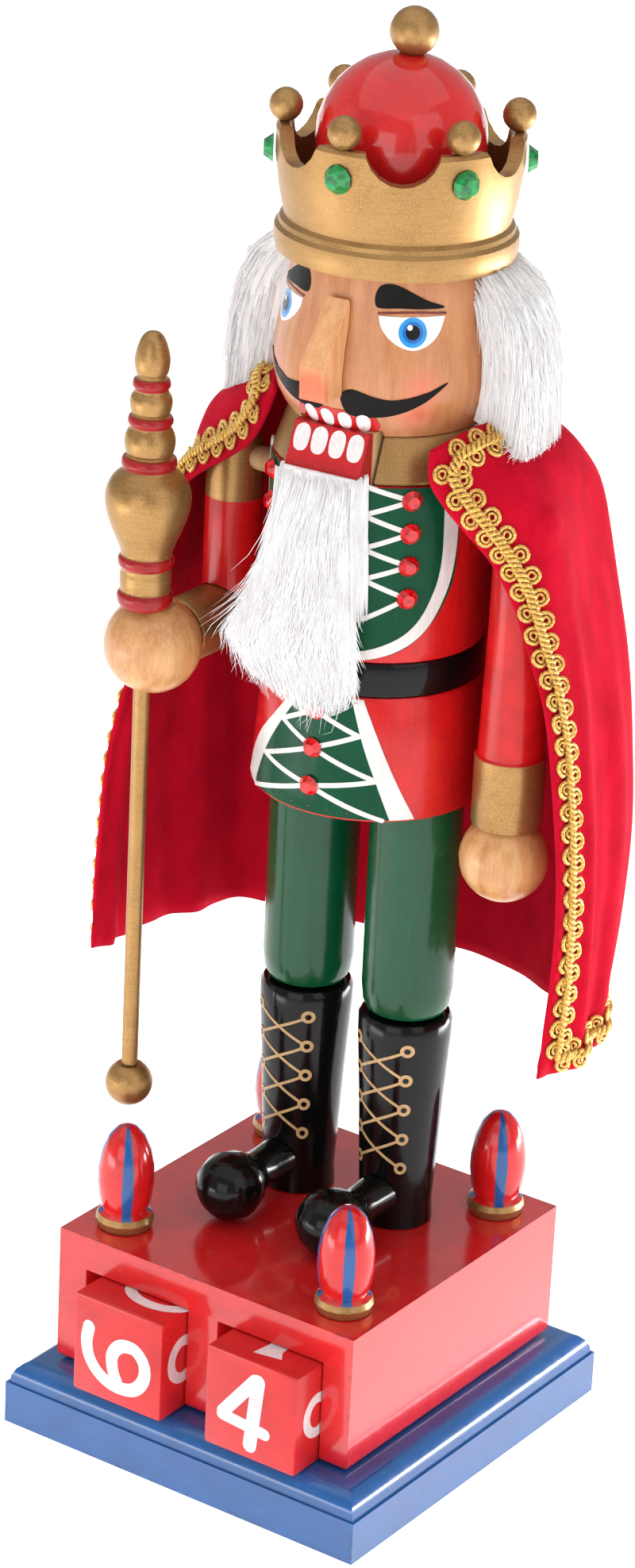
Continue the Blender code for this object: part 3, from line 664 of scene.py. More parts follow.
def paint_face():
    skin = on_turned(HEAD)
    white = enamel("eye_white_enamel", srgb(240, 241, 240), 0.22, 0.6)
    ring = enamel("iris_enamel", srgb(38, 150, 222), 0.2, 0.4)
    depth = enamel("iris_depth_enamel", srgb(16, 104, 184), 0.2, 0.4)
    lid = enamel("lid_line_enamel", srgb(112, 44, 34), 0.35, 0.2)
    eye = curve_through([(26.6, 330.3), (27.6, 328), (30, 326), (33.6, 324.2), (38.6, 322.6),
                         (44.8, 321.8), (51, 322.6), (56.4, 324.5), (60, 327), (62.5, 330.3)],
                        4, closed=False)
    lid_line = stroke(curve_through([(26.2, 331), (44, 331.5), (63, 331)], 6, False), 0.55)
    brow = curve_through([(24.6, 332.9), (24, 335.4), (26.2, 337.9), (31, 338.7), (36, 338.4),
                          (43, 336.9), (52, 334.6), (62.4, 332.5), (50, 332.3), (38, 332.5),
                          (28, 332.3)])
    tache = curve_through([(10.3, 306.9), (11.2, 309.4), (15.5, 310.6), (22, 309.9),
                           (29, 308.9), (36, 308.6), (43, 309.2), (53, 310.7), (63.2, 313),
                           (56, 309.6), (49.5, 307.2), (43.5, 305.5), (35.5, 304), (27, 303.2),
                           (19, 303), (13, 303.8)])
    pupil = (44.7, 326.4)
    shapes = (
        ("eye_whites", [eye], white, "white_fur", 0.12, 2),
        ("eye_lids", [lid_line], lid, "red_paint", 0.12, 2),
        ("irises", [disc(*pupil, 3.85, HEAD_DEGREE)], ring, "blue_paint", 0.2, 2),
        ("iris_centres", [disc(*pupil, 2.75, HEAD_DEGREE)], depth, "blue_paint", 0.26, 2),
        ("pupils", [disc(*pupil, 1.9, HEAD_DEGREE)], black_paint, "black_paint", 0.32, 2),
        ("brows", [brow], ink, "black_paint", 0.14, 3),
        ("moustache", [tache], ink, "black_paint", 0.14, 5.7),
    )
    for name, outlines, look, slot, lift, middle in shapes:
        both = outlines + [mirrored(outline, middle) for outline in outlines]
        painted(name, both, skin, look, HEAD_DEGREE, lift)
    glints = [disc(x, 327.7, 0.75, HEAD_DEGREE, sides=14) for x in (43.1, -42.4)]
    painted("eye_glints", glints, skin, white, HEAD_DEGREE, 0.38)
    return skin


def turned(spot):
    """Moves a point given from the figure's axis to where the turned upper body has it."""
    spot.rotate(Matrix.Rotation(math.radians(UPPER_TURN), 3, "Z"))
    spot.y += AXIS_Y
    return spot


def mouth_board(x, height, lift):
    """The sloping red face of the jaw board, under the turned head."""
    front = interpolate(((-33.2, 267), (-33.2, 288), (-28.7, 298.6)), height)
    return turned(Vector((x, front - lift, height + lift * 0.4))) * MM


def paint_mouth(skin):
    lip_red = enamel("mouth_enamel", srgb(196, 26, 32), 0.3, 0.4)
    tooth = enamel("tooth_enamel", srgb(240, 232, 232), 0.25, 0.5)
    lip = curve_through([(-17.5, 298.9), (-18, 302.4), (-12, 304), (6, 304.2), (23, 304),
                         (29, 302.4), (28.6, 298.9), (6, 298.6)])
    painted("upper_lip", [lip], skin, lip_red, HEAD_DEGREE, 0.12)
    upper = [curve_through([(x - 3.6, 300.4), (x - 3.3, 302.8), (x, 303.7), (x + 3.3, 302.8),
                            (x + 3.6, 300.4), (x + 1.9, 298.8), (x - 1.9, 298.8)])
             for x in (-9.2, 1.3, 11.5, 21.7)]
    painted("upper_teeth", upper, skin, tooth, HEAD_DEGREE, 0.24)
    board = [(-11.1, 284), (11.1, 284), (11.1, 298.5), (-11.1, 298.5)]
    painted("lower_lip", [board], mouth_board, lip_red, 1.0, 0.06, 0.2, "jaw")
    lower = [curve_through([(x - 2.3, 294.6), (x - 1.9, 297.2), (x, 298.2), (x + 1.9, 297.2),
                            (x + 2.3, 294.6), (x + 1.7, 292.1), (x, 291.4), (x - 1.7, 292.1)])
             for x in (-8.1, -2.8, 2.6, 8.1)]
    painted("lower_teeth", lower, mouth_board, tooth, 1.0, 0.18, 0.2, "jaw")


LATTICE = 1.35            # width of the white lattice lines on the bib and the skirt


def paint_bib():
    cloth = on_turned(TUNIC)
    fold = 4.5
    bib_green = enamel("bib_enamel", srgb(6, 72, 46), 0.24, 0.03, shine=0.12)
    line_white = enamel("piping_enamel", srgb(228, 224, 220), 0.35, 0.3)
    outer = [(fold, 284.2), (70, 284.2), (75.4, 282), (76.2, 274), (76, 266), (74.4, 258),
             (68.4, 250.6), (59.6, 244.4), (49, 239.6), (34, 236.6), (20, 235.4), (fold, 235.3)]
    outer = curve_through(outer, 5, closed=False)
    field = outer + mirrored(outer, fold)[1:-1]
    painted("bib_field", [field], cloth, bib_green, BODY_DEGREE, 0.1)
    edge = [(70.6, 283.7), (71, 274), (70.8, 266), (69.2, 259.4), (65.4, 253.4), (58.4, 246.6),
            (48.6, 241.7), (34.4, 238.2), (20, 236.4)]
    edge = curve_through(edge, 4, closed=False)
    widths = [5.0 - 2.4 * i / (len(edge) - 1) for i in range(len(edge))]
    border = stroke(edge, widths)
    lines = [border]
    gems = [(48.5, 281 - 9.1 * k) for k in range(4)]
    inner = [(24, 284.7), (24.2, 276.6), (24.6, 267.3), (25.6, 258.8), (26.8, 247.6)]
    for gem, above, below in zip(gems, inner, inner[1:]):
        lines += [stroke([above, gem], LATTICE), stroke([gem, below], LATTICE)]
    both = lines + [mirrored(line, fold) for line in lines]
    painted("bib_piping", both, cloth, line_white, BODY_DEGREE, 0.22)
    return bib_green, line_white


def paint_skirt(panel_green, line_white):
    cloth = on_turned(SKIRT)
    left_out = [(-7.6, 224.6), (-24, 214), (-36.6, 206.6), (-45.6, 199), (-50, 190.8)]
    left_in = [(-2.8, 224.6), (-21.6, 209.8), (-31.4, 200), (-37.4, 190.8)]
    right_in = [(23.6, 224.6), (30.4, 212), (38, 201), (45.2, 190.8)]
    right_out = [(29.6, 224.6), (40.4, 210.4), (49, 200), (57.6, 190.8)]
    across = [(angle, 190.8) for angle in range(-44, 57, 6)]
    field = (curve_through(left_out, 5, False) + across
             + curve_through(right_out[::-1], 5, False))
    painted("skirt_field", [field], cloth, panel_green, BODY_DEGREE, 0.1)
    sides = [curve_through(outer, 5, False) + curve_through(inner[::-1], 5, False)
             for outer, inner in ((left_out, left_in), (right_out, right_in))]
    nodes = [(4.5, 224.6), (4.5, 219.9), (4.5, 209.2), (4.5, 198.5)]
    left = [(-15.9, 214.4), (-28.4, 202.2), (-38.4, 190.8)]
    right = [(28.3, 214.4), (37.9, 202), (41.5, 190.8)]
    lines = []
    for side in (left, right):
        for i, knot in enumerate(side):
            lines.append(stroke([nodes[i + 1], knot], LATTICE))
            if i < 2:
                lines.append(stroke([knot, nodes[i + 2]], LATTICE))
    painted("skirt_piping", sides + lines, cloth, line_white, BODY_DEGREE, 0.22)


LACE_TOP, LACE_STEP, LACE_ROWS = 118, 9.3, 5


def paint_boots():
    for side, x in (("right", -STANCE), ("left", STANCE)):
        leather = on_turned(BOOT, x)
        rings, holes, laces = [], [], []
        for k in range(LACE_ROWS):
            height = LACE_TOP - LACE_STEP * k
            for angle in (-38, 38):
                rings.append(disc(angle, height, 1.9, BOOT_DEGREE, sides=18))
                holes.append(disc(angle, height, 0.85, BOOT_DEGREE, sides=12))
                if k < LACE_ROWS - 1:
                    path = [(angle, height), (0, height - 4.3), (-angle, height - LACE_STEP)]
                    laces.append(stroke(curve_through(path, 6, False), 0.8))
        painted(f"boot_laces_{side}", laces + rings, leather, tan_cord,
                BOOT_DEGREE, 0.12)
        painted(f"boot_eyelets_{side}", holes, leather, black_paint,
                BOOT_DEGREE, 0.22)


def drawn_ring(u, v, radius, squash, width):
    loop = curve_through(disc(u, v, radius, squash=squash, sides=12), 4)
    return stroke(loop + loop[:1], width)


def paint_digits():
    digit_white = enamel("digit_enamel", srgb(226, 222, 224), 0.35, 0.15)
    for cube, body in (("number_cube_tens", "tens_cube"), ("number_cube_units", "units_cube")):
        low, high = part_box(cube)
        low, high = low / MM, high / MM
        front = on_plane(low, (1, 0, 0), (0, 0, 1))
        side = on_plane((high.x, low.y, low.z), (0, 1, 0), (0, 0, 1))
        top = on_plane((low.x, low.y, high.z), (1, 0, 0), (0, 1, 0))
        if cube == "number_cube_tens":
            swirl = [(5.4, 21.4), (4.7, 16.6), (6, 11.6), (9.8, 7.6), (15.2, 5.9),
                     (21.2, 7), (24.6, 11.2), (24.6, 16.2), (21.2, 19.6), (16.4, 19),
                     (13.7, 15.4), (14, 10.8), (15.6, 7.4)]
            shapes = {"front": (front, [stroke(curve_through(swirl, 6, False), 4)]),
                      "side": (side, [drawn_ring(9.9, 16, 5.2, 1.1, 3.2)]),
                      "top": (top, [drawn_ring(20, 13.2, 9.5, 0.62, 3.4)])}
        else:
            four = [stroke([(16.6, 25), (6.2, 11.8)], 3.8), stroke([(6, 11), (20.4, 9.7)], 3.6),
                    stroke([(17.6, 25), (15.6, 4.6)], 4.4)]
            shapes = {"front": (front, four),
                      "side": (side, [drawn_ring(9.8, 15.4, 4.8, 1.1, 3)]),
                      "top": (top, [[(12.4, 4.4), (20.8, 5.9), (18.9, 9), (17.6, 24),
                                     (13, 24), (13.4, 10.5)]])}
        for face, (plane, strokes) in shapes.items():
            painted(f"{body}_{face}_digit", strokes, plane, digit_white,
                    1.0, 0.1, 0.08, body)


# ---------------------------------------------------------------- cape

# From the neck to the hem, down each line of the cape: (right or left, front or back, height)
CAPE_LINES = (
    ((30, -7, 297.5), (31.5, -9, 290), (36, -7.5, 283), (41, -3.5, 275.5), (46, 1, 267.5),
     (52, 3, 257), (58, 3.5, 243), (63, 4.5, 229), (66.5, 5, 212), (70, 5, 185),
     (71, 4, 158), (70, 2, 126)),
    ((33.5, 9, 301), (38, 7, 296.5), (43, 7.5, 291.5), (49, 9, 286), (54, 12, 278.5),
     (57, 15, 268), (59, 16.5, 253), (62.5, 18, 236), (66, 18, 214), (69.5, 18, 186),
     (71, 17, 158), (71, 16, 125)),
    ((33, 26, 299), (37, 30, 295), (42, 33, 291.5), (46, 35.5, 287), (49, 37, 279.5),
     (52, 38, 266), (56.5, 38, 248), (61, 38, 230), (65, 38, 210), (67.5, 38, 184),
     (68.5, 36, 157), (68, 33, 124.5)),
    ((22, 44, 297), (27, 48, 294), (32, 51, 291), (37, 53, 286), (41, 55, 279),
     (44, 56.5, 268), (47, 57.5, 252), (50, 58.5, 234), (52, 59, 212), (54, 58.5, 185),
     (53, 56, 156), (50, 52, 125)),
    ((0, 50, 296), (0, 53.5, 293.5), (0, 56, 290.5), (0, 58, 286), (0, 59.5, 279),
     (0, 61, 268), (0, 62, 252), (0, 62.5, 234), (0, 63, 212), (0, 62.5, 185),
     (0, 61.5, 156), (0, 59.5, 124.5)),
    ((-22, 44, 297), (-28, 48, 295), (-35, 50, 292.5), (-42, 51, 288.5), (-47, 52.5, 281),
     (-50, 54, 269), (-51.5, 55, 252), (-53, 56, 234), (-54.5, 57, 212), (-56, 57, 185),
     (-55, 55, 156), (-53, 51, 125)),
    ((-33, 27, 299.5), (-40, 27, 297.5), (-48, 28, 294), (-55, 28, 289.5), (-60.5, 28.5, 282.5),
     (-63, 29.5, 270), (-64.5, 30.5, 252), (-66.5, 31, 234), (-69, 32, 212), (-70.5, 33, 185),
     (-70.5, 33, 157), (-69, 31, 125)),
    ((-30.5, 11, 302), (-36, 9.5, 298.5), (-43, 10, 292.5), (-50, 12, 286.5), (-57, 14, 280),
     (-61, 15, 269), (-62.5, 14.5, 254), (-65, 12.5, 236), (-68.5, 10, 212), (-71.5, 8, 185),
     (-72.5, 6, 157), (-72, 4, 125)),
    ((-25.5, 2, 301), (-27.5, 0, 292), (-33, 1, 283), (-41, 2.5, 276.5), (-52, 4, 269),
     (-59, 4.5, 262), (-62.5, 3, 250), (-63.5, 0.5, 235), (-66.5, -3.5, 212), (-70.5, -8, 185),
     (-71, -10.5, 157), (-71, -12, 127)),
)
CAPE_THICKNESS = 1.8
HEM_DEPTH = 8.0
ARM_RADIUS, ARM_X, ARM_Y = 8.0, 47, AXIS_Y - 2.4
ARM_FOOT, ARM_TOP = 190, 275
# Collar and head under the cape, as (radius, height)
UNDER_CAPE = ((30.6, 284), (30.6, 285), (27, 296), (30.2, 302))


def lerp(a, b, t):
    return a + (b - a) * t


def eased(value, low, high):
    """0 below low, 1 above high, with a smooth rise between."""
    t = min(max((value - low) / (high - low), 0.0), 1.0)
    return t * t * (3 - 2 * t)


def cape_grid():
    """The cape's middle surface as rows of points, neck to hem, left edge to right edge."""
    lines = [curve_through(line, 6, closed=False) for line in CAPE_LINES]
    grid = []
    for k, controls in enumerate(zip(*lines)):
        drop = k / (len(lines[0]) - 1)
        row = [Vector(p) for p in curve_through(controls, 18, closed=False)]
        columns = len(row) - 1
        shaped = []
        for j, spot in enumerate(row):
            across = j / columns
            ahead = (row[min(j + 1, columns)] - row[max(j - 1, 0)]).normalized()
            out = Vector((-ahead.y, ahead.x, 0)).normalized()
            wave = (math.sin(math.tau * 5.5 * across + 0.8)
                    + 0.55 * math.sin(math.tau * 9.2 * across + 2.1 + drop)
                    + 0.3 * math.sin(math.tau * 17 * across + 3 * drop))
            depth = 1.9 * eased(drop, 0.25, 1.0) * eased(min(across, 1 - across), 0.0, 0.08)
            ripple = 0.5 * noise.noise(Vector((across * 22, drop * 7, 0.3)))
            shaped.append(spot + out * (wave * depth * 0.8 + ripple * eased(drop, 0.05, 0.2)))
        grid.append(shaped)
    clear_of_body(grid)
    return grid


def clear_of_body(grid):
    """Keeps the cloth outside the arms, the collar and the head."""
    gap = CAPE_THICKNESS / 2 + 0.35
    for row in grid:
        for spot in row:
            for x in (-ARM_X, ARM_X):
                side = Vector((spot.x - x, spot.y - ARM_Y))
                top = max(spot.z - ARM_TOP, 0)
                room = math.sqrt(side.length_squared + top * top)
                if spot.z > ARM_FOOT and room < ARM_RADIUS + gap:
                    push = (ARM_RADIUS + gap - room) / max(room, 0.01)
                    spot.x += side.x * push
                    spot.y += side.y * push
                    spot.z += top * push
            side = Vector((spot.x, spot.y - AXIS_Y))
            body = interpolate(UNDER_CAPE, spot.z) + gap
            if side.length < body:
                side *= body / side.length
                spot.x, spot.y = side.x, side.y + AXIS_Y


def surface_normal(grid, i, j):
    up = grid[max(i - 1, 0)][j] - grid[min(i + 1, len(grid) - 1)][j]
    across = grid[i][min(j + 1, len(grid[0]) - 1)] - grid[i][max(j - 1, 0)]
    return across.cross(up).normalized()


def mesh_piece(name, verts, faces, look, body="figure_and_base"):
    """A piece from points in millimetres and faces that index them."""
    mesh = bpy.data.meshes.new("loose")
    mesh.from_pydata([Vector(v) * MM for v in verts], [], faces)
    bm = bmesh.new()
    bm.from_mesh(mesh)
    bpy.data.meshes.remove(mesh)
    return finish_piece(name, bm, look, body)


def velvet():
    """Crimson velvet: deep where the pile faces away, soft sheen, mottled where it is brushed."""
    look = Look("crimson_velvet", Roughness=0.85, Sheen_Weight=0.2, Sheen_Roughness=0.4,
                Sheen_Tint=(1.0, 0.12, 0.18, 1), Specular_IOR_Level=0.05)
    brushed = look.noise(7, 4, (1, 1, 1.8))
    pile = look.noise(0.55, 3)
    base = look.mix(look.span(brushed, 0.32, 0.68), srgb(172, 6, 32), srgb(196, 11, 40))
    base = look.mix(look.span(pile, 0.4, 0.75, 0, 0.3), base, srgb(216, 30, 56))
    look.finish(base)
    look.bump(pile, 0.12, 0.5)
    look.bump(brushed, 0.4, 0.3)
    return look


def sheet_faces(rows, columns):
    """The faces of a closed sheet: points of its outside row by row, then those of its inside."""
    size = rows * columns
    faces = []
    for i in range(rows - 1):
        for j in range(columns - 1):
            a, b = i * columns + j, i * columns + j + 1
            c, d = a + columns, b + columns
            faces += [(a, c, d, b), (a + size, b + size, d + size, c + size)]
    rim = ([(0, j) for j in range(columns)] + [(i, columns - 1) for i in range(1, rows)]
           + [(rows - 1, j) for j in range(columns - 2, -1, -1)]
           + [(i, 0) for i in range(rows - 2, 0, -1)])
    rim = [i * columns + j for i, j in rim]
    return faces + [(a, b, b + size, a + size) for a, b in zip(rim, rim[1:] + rim[:1])]


def make_cape(grid):
    rows, columns = len(grid), len(grid[0])
    half = CAPE_THICKNESS / 2
    verts = []
    for side in (1, -1):
        for i in range(rows):
            for j in range(columns):
                down = (grid[i][j] - grid[-1][j]).length
                edge = min((grid[i][j] - grid[i][0]).length,
                           (grid[i][j] - grid[i][-1]).length, down,
                           (grid[i][j] - grid[0][j]).length)
                thick = half * math.sqrt(max(1 - (1 - min(edge / half, 1)) ** 2, 0.12))
                stitch = 0.45 * math.exp(-((down - HEM_DEPTH) / 0.8) ** 2)
                verts.append(grid[i][j] + surface_normal(grid, i, j) * side * (thick - stitch))
    cloth = mesh_piece("velvet_cape", verts, sheet_faces(rows, columns), velvet())
    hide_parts("cape")
    return cloth


# ---------------------------------------------------------------- braid

BRAID_INSET = 5.6         # from the cape's edge to the middle of the braid
LOOP_PITCH = 6.2
LOOP_RADIUS = 2.15
LOOP_OFFSET = 2.25        # from the middle of the braid to the middle of a loop
LOOP_STEPS = 12
TWIST_STEPS = 6           # points in one turn of the two twisted cords
THREAD = 0.58


def add_tube(verts, faces, points, radius, sides=5, closed=False, taper=False):
    """Adds a thread along the points; an open one is closed at its ends."""
    start = len(verts)
    count = len(points)
    side = None
    for i, spot in enumerate(points):
        if closed:
            ahead = points[(i + 1) % count] - points[i - 1]
        else:
            ahead = points[min(i + 1, count - 1)] - points[max(i - 1, 0)]
        ahead.normalize()
        if side is None:
            side = ahead.orthogonal().normalized()
        else:
            side = (side - ahead * side.dot(ahead)).normalized()
        other = ahead.cross(side)
        width = radius * (1 - 0.85 * (i / (count - 1)) ** 2) if taper else radius
        for k in range(sides):
            turn = math.tau * k / sides
            verts.append(spot + (side * math.cos(turn) + other * math.sin(turn)) * width)
    for i in range(count if closed else count - 1):
        low, high = start + i * sides, start + (i + 1) % count * sides
        for k in range(sides):
            after = (k + 1) % sides
            faces.append((low + k, low + after, high + after, high + k))
    if not closed:
        faces.append(tuple(start + k for k in reversed(range(sides))))
        faces.append(tuple(start + (count - 1) * sides + k for k in range(sides)))


def braid_path(grid):
    """The line an inset inside the cape's edge all round, with the cloth's outward direction."""
    knots = [[(spot, surface_normal(grid, i, j)) for j, spot in enumerate(row)]
             for i, row in enumerate(grid)]
    down = list(zip(*knots))
    corners = [grid[0][0], grid[0][-1], grid[-1][0], grid[-1][-1]]

    def inset(line):
        """The place an inset along the line."""
        gone = 0.0
        for (start, out), (end, later) in zip(line, line[1:]):
            step = (end - start).length
            if gone + step >= BRAID_INSET:
                t = (BRAID_INSET - gone) / step
                return start.lerp(end, t), out.lerp(later, t)
            gone += step
        return line[-1]

    def run(lines):
        """The inset places of the lines, without those near a corner."""
        return [knot for knot in map(inset, lines)
                if min((knot[0] - end).length for end in corners) > BRAID_INSET * 1.25]

    return (run(down)[::-1] + run(knots) + run([line[::-1] for line in down])
            + run([row[::-1] for row in knots])[::-1])


def evenly(path, pitch):
    """Points every pitch along a closed path, with their outward and forward directions."""
    total = sum((path[k][0] - path[k - 1][0]).length for k in range(len(path)))
    count = round(total / pitch)
    step = total / count
    result, gone, need = [], 0.0, 0.0
    for (start, out), (end, later) in zip(path, path[1:] + path[:1]):
        length = (end - start).length
        while need <= gone + length and len(result) < count:
            t = (need - gone) / length if length else 0
            result.append((start.lerp(end, t), out.lerp(later, t).normalized()))
            need += step
        gone += length
    return [(spot, out, (result[(k + 1) % count][0] - result[k - 1][0]).normalized())
            for k, (spot, out) in enumerate(result)]


def gold_thread():
    look = Look("gold_braid_thread", Metallic=0.6, Sheen_Weight=0.2)
    twist_and_glint = look.noise(0.5, 3)
    # The tone spread, from deep brown-gold to pale yellow, is partly painted glint and painted
    # shade of the twisted threads.
    base = look.mix(look.span(twist_and_glint, 0.35, 0.65), srgb(186, 130, 44), srgb(255, 216, 118))
    look.finish(base, look.span(twist_and_glint, 0.3, 0.7, 0.28, 0.5))
    look.bump(twist_and_glint, 0.12, 0.7)
    return look


def make_braid(grid):
    path = braid_path(grid)
    lift = CAPE_THICKNESS / 2 + THREAD
    verts, faces = [], []
    columns = len(grid[0])
    cloth = BVHTree.FromPolygons(
        [spot for row in grid for spot in row],
        [(i * columns + j, i * columns + j + 1, (i + 1) * columns + j + 1, (i + 1) * columns + j)
         for i in range(len(grid) - 1) for j in range(columns - 1)])

    def settled(spot, out, height):
        """The nearest place on the cloth, raised off its outside."""
        place, normal, _, _ = cloth.find_nearest(spot)
        return place + (normal if normal.dot(out) > 0 else -normal) * height

    for k, (spot, out, ahead) in enumerate(evenly(path, LOOP_PITCH / 2)):
        side = out.cross(ahead).normalized() * (1 if k % 2 else -1)
        centre = spot + side * LOOP_OFFSET
        for radius, height, thread in ((LOOP_RADIUS, lift, THREAD), (1.0, lift + 0.3, 0.4)):
            ring = []
            for q in range(LOOP_STEPS):
                turn = math.tau * q / LOOP_STEPS
                place = (centre + side * radius * math.cos(turn)
                         + ahead * radius * math.sin(turn))
                ring.append(settled(place, out, height + 0.25 * math.sin(2 * turn)))
            add_tube(verts, faces, ring, thread, closed=True)
    cord = evenly(path, LOOP_PITCH / 2 / TWIST_STEPS)
    for phase in (0, math.pi):
        line = []
        for k, (spot, out, ahead) in enumerate(cord):
            turn = math.tau * k / TWIST_STEPS + phase
            side = out.cross(ahead).normalized()
            line.append(settled(spot + side * 1.1 * math.sin(turn), out,
                                lift + 0.9 + 0.45 * math.cos(turn)))
        add_tube(verts, faces, line, THREAD * 1.1, closed=True)
    return mesh_piece("gold_braid", verts, faces, gold_thread())


# ---------------------------------------------------------------- fur

def fur(name, light, dark):
    # The faint white glow is painted light: it lifts the shade between the strands.
    look = Look(name, Roughness=0.62, Sheen_Weight=0.4, Sheen_Roughness=0.4,
                Specular_IOR_Level=0.3, Emission_Color=(1, 0.985, 0.98, 1),
                Emission_Strength=0.12)
    streak = look.noise(1.1, 4, (1, 1, 14))
    # The slow clouds darken clumps of fur: partly the fur's own tone, partly painted shade
    # between clumps.
    cloud = look.noise(5, 3, (1, 1, 2))
    shade = look.weigh((streak, 0.5), (cloud, 0.5))
    look.finish(look.mix(look.span(shade, 0.36, 0.62), dark, light))
    look.bump(streak, 0.3, 0.4)
    return look


STRAND = (0, 0.25, 0.5, 0.75, 1)      # places along a strand of fur


def add_strand(verts, faces, line, thin, thick):
    """Adds one tapering strand, with its radius drawn at random."""
    add_tube(verts, faces, line, random.uniform(thin, thick), 3, taper=True)


# The hair's outside: (radius, degrees from the front) and (share of it, height)
HAIR_SIDES = ((44, -180), (46, -124), (50, -84), (50, -60), (50, 60), (46.5, 84), (45, 124),
              (44, 180))
HAIR_FALL = ((0.98, 286), (1.0, 290), (1.0, 302), (0.99, 313), (0.955, 324.5), (0.875, 333),
             (0.76, 338), (0.69, 340))
HAIR_FRONT = 84           # degrees from the front to the hair's front edge
HAIR_LEVELS = (340, 339, 337, 334, 330, 325, 319, 312, 305, 299, 295)
HAIR_STRANDS = 7500       # strands over the back and sides of the head; more would pass the export's face limit for one piece


def hair_radius(angle, height):
    return interpolate(HAIR_SIDES, angle) * interpolate(HAIR_FALL, height)


def round_axis(angle, radius, height):
    """The point at an angle, in degrees from the front, and a radius from the figure's axis."""
    turn = math.radians(angle)
    return Vector((radius * math.sin(turn), AXIS_Y - radius * math.cos(turn), height))


def hair_hem(radius):
    """The height where the fur meets the cape's shoulders."""
    return 300.8 - (radius - 33) * 0.52


def signed(angle):
    """The angle as -180 to 180 degrees."""
    return angle if angle <= 180 else angle - 360


def add_hair_cap(verts, faces):
    """Adds the closed skin under the strands, from one front edge round the back to the other."""
    columns = 61
    size = 2 * len(HAIR_LEVELS)
    for k in range(columns):
        angle = HAIR_FRONT + (360 - 2 * HAIR_FRONT) * k / (columns - 1)
        edge = min(angle - HAIR_FRONT, 360 - HAIR_FRONT - angle)
        fill = math.sqrt(min(edge / 5, 1.0)) * 0.25 + 0.75
        around = signed(angle)
        insides = [(max(interpolate(HEAD, height), 29) + 0.5, height) for height in HAIR_LEVELS]
        for inner, height in insides:
            radius = lerp(inner + 1.2, hair_radius(around, height) - 1.0, fill)
            verts.append(round_axis(around, radius, max(height, hair_hem(radius))))
        for inner, height in reversed(insides):
            verts.append(round_axis(around, inner, max(height, 300.5)))
    for start in range(0, (columns - 1) * size, size):
        for m in range(size):
            after = (m + 1) % size
            faces.append((start + m, start + after, start + size + after, start + size + m))
    faces.append(tuple(range(size))[::-1])
    faces.append(tuple((columns - 1) * size + m for m in range(size)))


def make_hair(look):
    verts, faces = [], []
    add_hair_cap(verts, faces)
    for _ in range(HAIR_STRANDS):
        around = signed(random.uniform(HAIR_FRONT + 1, 360 - HAIR_FRONT - 1))
        top = random.uniform(292, 341)
        length = random.uniform(11, 22) * (0.75 if top > 330 else 1)
        curl = random.uniform(-5, 5)
        depth = 14 * random.random() if random.random() < 0.12 else 0
        if depth:
            around = random.choice((-1, 1)) * random.uniform(HAIR_FRONT - 2, HAIR_FRONT + 1)
        lift = random.uniform(-0.9, 0.5) - depth
        flare = random.uniform(0.0, 1.6) ** 2 * 0.55
        line = []
        for t in STRAND:
            angle = around + curl * t * t + 1.2 * math.sin(3 * t + around)
            height = top - length * t
            spot = round_axis(angle, hair_radius(angle, height) + lift + flare * t, height)
            spot.z = max(spot.z, hair_hem((spot.xy - Vector((0, AXIS_Y))).length) + 0.1)
            line.append(spot)
        add_strand(verts, faces, line, 0.13, 0.24)
    hair = mesh_piece("fur_hair", verts, faces, look)
    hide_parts("hair")
    return hair


# The beard's edges from the mouth to the tip, as (right or left, height)
BEARD_LEFT = ((-10.8, 288), (-13, 276), (-15.6, 262), (-19.5, 249.5), (-25.5, 238), (-21, 231.5))
BEARD_RIGHT = ((11, 288), (12, 276), (12.7, 262), (13.3, 250), (14, 240), (14.4, 231.5))
BEARD_BACK = -34.5        # the beard's back, in front of the jaw board
# The curtains of fur beside the jaw board, as (right or left, height)
BEARD_CURTAIN = ((14.2, 236), (13.4, 250), (12.8, 262), (12, 276), (11.5, 288))
BEARD_STRANDS, STRAY_STRANDS, CURTAIN_STRANDS = 5200, 260, 1500


def beard_place(across, drop, lift):
    """A point on the beard: across 0 to 1, drop 0 at the mouth to 1 at the tip."""
    place = drop * (len(BEARD_LEFT) - 1)
    k = min(int(place), len(BEARD_LEFT) - 2)
    left, right = (Vector(edge[k]).lerp(Vector(edge[k + 1]), place - k)
                   for edge in (BEARD_LEFT, BEARD_RIGHT))
    flat = left.lerp(right, across)
    flat.y -= 4.0 * math.sin(math.pi * min(max(across, 0), 1) ** 1.7) * drop ** 3
    swell = math.sin(math.pi * min(max(across, 0.02), 0.98)) ** 0.55
    thick = 7.2 * swell * (0.35 + 0.65 * eased(drop, 0, 0.3)) * (1 - 0.45 * eased(drop, 0.7, 1))
    return turned(Vector((flat.x, BEARD_BACK - thick * lift, flat.y)))


